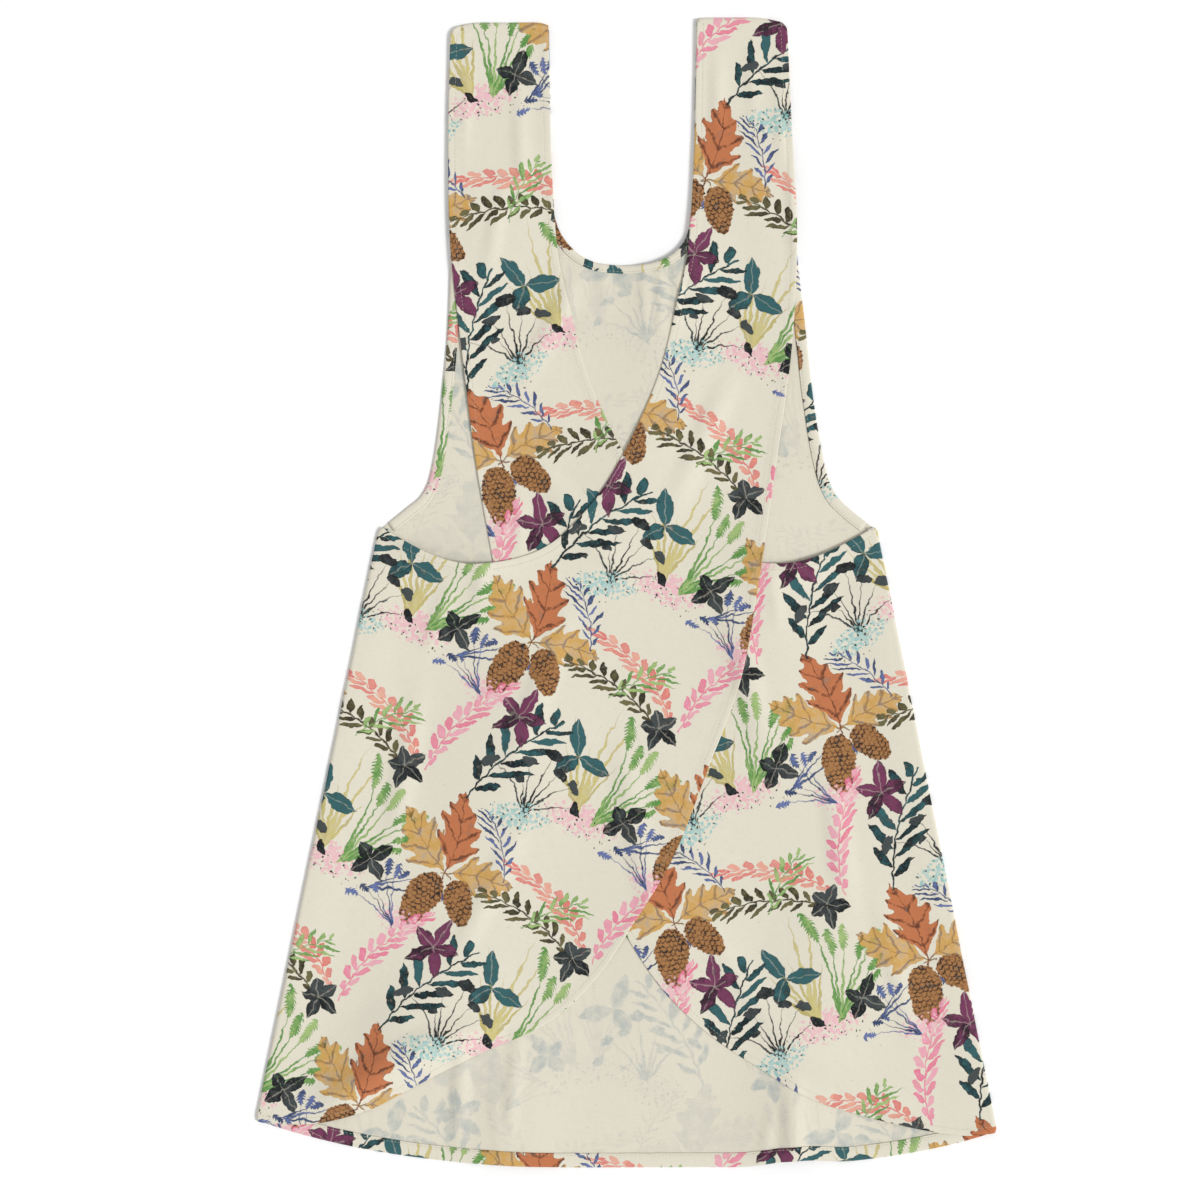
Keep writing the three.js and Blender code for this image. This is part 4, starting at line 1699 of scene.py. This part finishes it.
class APRON_OT_rolled_seams(bpy.types.Operator):
    """Make the side seams and the shoulder seams"""

    bl_idname = "apron.rolled_seams"
    bl_label = "Seams"

    def execute(self, context):
        turn = context.scene.apron_print.grain_turn
        rolled_seam("left_side_seam", turn)
        rolled_seam("right_side_seam", -turn)
        rolled_seam("left_shoulder_seam", -turn)
        rolled_seam("right_shoulder_seam", turn)
        return {"FINISHED"}


class APRON_OT_stitching(bpy.types.Operator):
    """Make the stitching of the hems and turned edges"""

    bl_idname = "apron.stitching"
    bl_label = "Stitching"

    def execute(self, context):
        cloth = context.scene.apron_cloth
        front = [
            edge_stitch_path("neck", cloth.neck_turn),
            edge_stitch_path("left_armhole", cloth.armhole_turn),
            edge_stitch_path("right_armhole", cloth.armhole_turn),
            edge_stitch_path("hem", cloth.hem_turn),
        ]
        for name, paths in (
            ("right_back_stitches", hem_stitch_paths(RIGHT_BACK)),
            ("left_back_stitches", hem_stitch_paths(LEFT_BACK)),
            ("front_stitches", front),
        ):
            stitched(name, paths)
        return {"FINISHED"}


VIEW_MIDDLE = (-21 * MM, -6 * MM, 0)  # the camera stands over this place
KEY_PLACE = (1.2, -0.4, 1.3)  # the soft light comes from here


class APRON_OT_stage(bpy.types.Operator):
    """Make the floor, the light and the camera"""

    bl_idname = "apron.stage"
    bl_label = "Stage"

    def execute(self, context):
        settings = context.scene.apron_stage
        bpy.ops.mesh.primitive_plane_add(size=settings.floor_size)
        floor = context.object
        floor.name = "floor"
        paint = bpy.data.materials.new("floor")
        paint.use_nodes = True
        shader = paint.node_tree.nodes["Principled BSDF"]
        shader.inputs["Base Color"].default_value = (*settings.floor_colour, 1)
        shader.inputs["Roughness"].default_value = 0.9
        shader.inputs["Specular IOR Level"].default_value = 0.1
        floor.data.materials.append(paint)

        middle = Vector(VIEW_MIDDLE)
        camera = bpy.data.cameras.new("camera")
        half_angle = math.atan(settings.view_width / 2 / settings.view_height)
        camera.lens = camera.sensor_width / 2 / math.tan(half_angle)
        holder = bpy.data.objects.new("camera", camera)
        holder.location = middle + Vector((0, 0, settings.view_height))
        context.scene.collection.objects.link(holder)
        context.scene.camera = holder

        lamp = bpy.data.lights.new("key", "SUN")
        lamp.energy = settings.key_strength
        lamp.angle = settings.key_spread
        key = bpy.data.objects.new("key", lamp)
        key.location = KEY_PLACE
        key.rotation_euler = (middle - key.location).to_track_quat("-Z", "Y").to_euler()
        context.scene.collection.objects.link(key)

        world = bpy.data.worlds.new("studio")
        world.use_nodes = True
        sky = world.node_tree.nodes["Background"]
        sky.inputs["Color"].default_value = (1, 1, 1, 1)
        sky.inputs["Strength"].default_value = settings.sky
        context.scene.world = world
        context.scene.view_settings.view_transform = "Standard"
        return {"FINISHED"}


class APRON_PT_panel(bpy.types.Panel):
    """The apron's sizes and its pieces"""

    bl_label = "Cross Back Apron"
    bl_idname = "APRON_PT_panel"
    bl_space_type = "VIEW_3D"
    bl_region_type = "UI"
    bl_category = "Apron"

    def draw(self, context):
        layout = self.layout
        for group in SETTINGS:
            box = layout.box()
            settings = getattr(context.scene, group)
            for key in settings.bl_rna.properties.keys():
                if key not in ("rna_type", "name"):
                    box.prop(settings, key)
        for operator in OPERATORS:
            layout.operator(operator.bl_idname)


SETTINGS = {
    "apron_cloth": ApronClothSettings,
    "apron_stitches": ApronStitchSettings,
    "apron_print": ApronPrintSettings,
    "apron_stage": ApronStageSettings,
}
OPERATORS = (
    APRON_OT_front_panel,
    APRON_OT_back_panels,
    APRON_OT_turned_edges,
    APRON_OT_rolled_seams,
    APRON_OT_stitching,
    APRON_OT_stage,
)


def register():
    """Registers the settings, the operators and the panel."""
    for name, kind in SETTINGS.items():
        bpy.utils.register_class(kind)
        setattr(bpy.types.Scene, name, PointerProperty(type=kind))
    for kind in (*OPERATORS, APRON_PT_panel):
        bpy.utils.register_class(kind)


def unregister():
    """Takes away what register() added."""
    for kind in (APRON_PT_panel, *reversed(OPERATORS)):
        bpy.utils.unregister_class(kind)
    for name, kind in SETTINGS.items():
        delattr(bpy.types.Scene, name)
        bpy.utils.unregister_class(kind)


def main():
    """Makes the whole apron."""
    register()
    bpy.ops.apron.front_panel()
    bpy.ops.apron.back_panels()
    bpy.ops.apron.turned_edges()
    bpy.ops.apron.rolled_seams()
    bpy.ops.apron.stitching()
    bpy.ops.apron.stage()


if __name__ == "__main__":
    main()
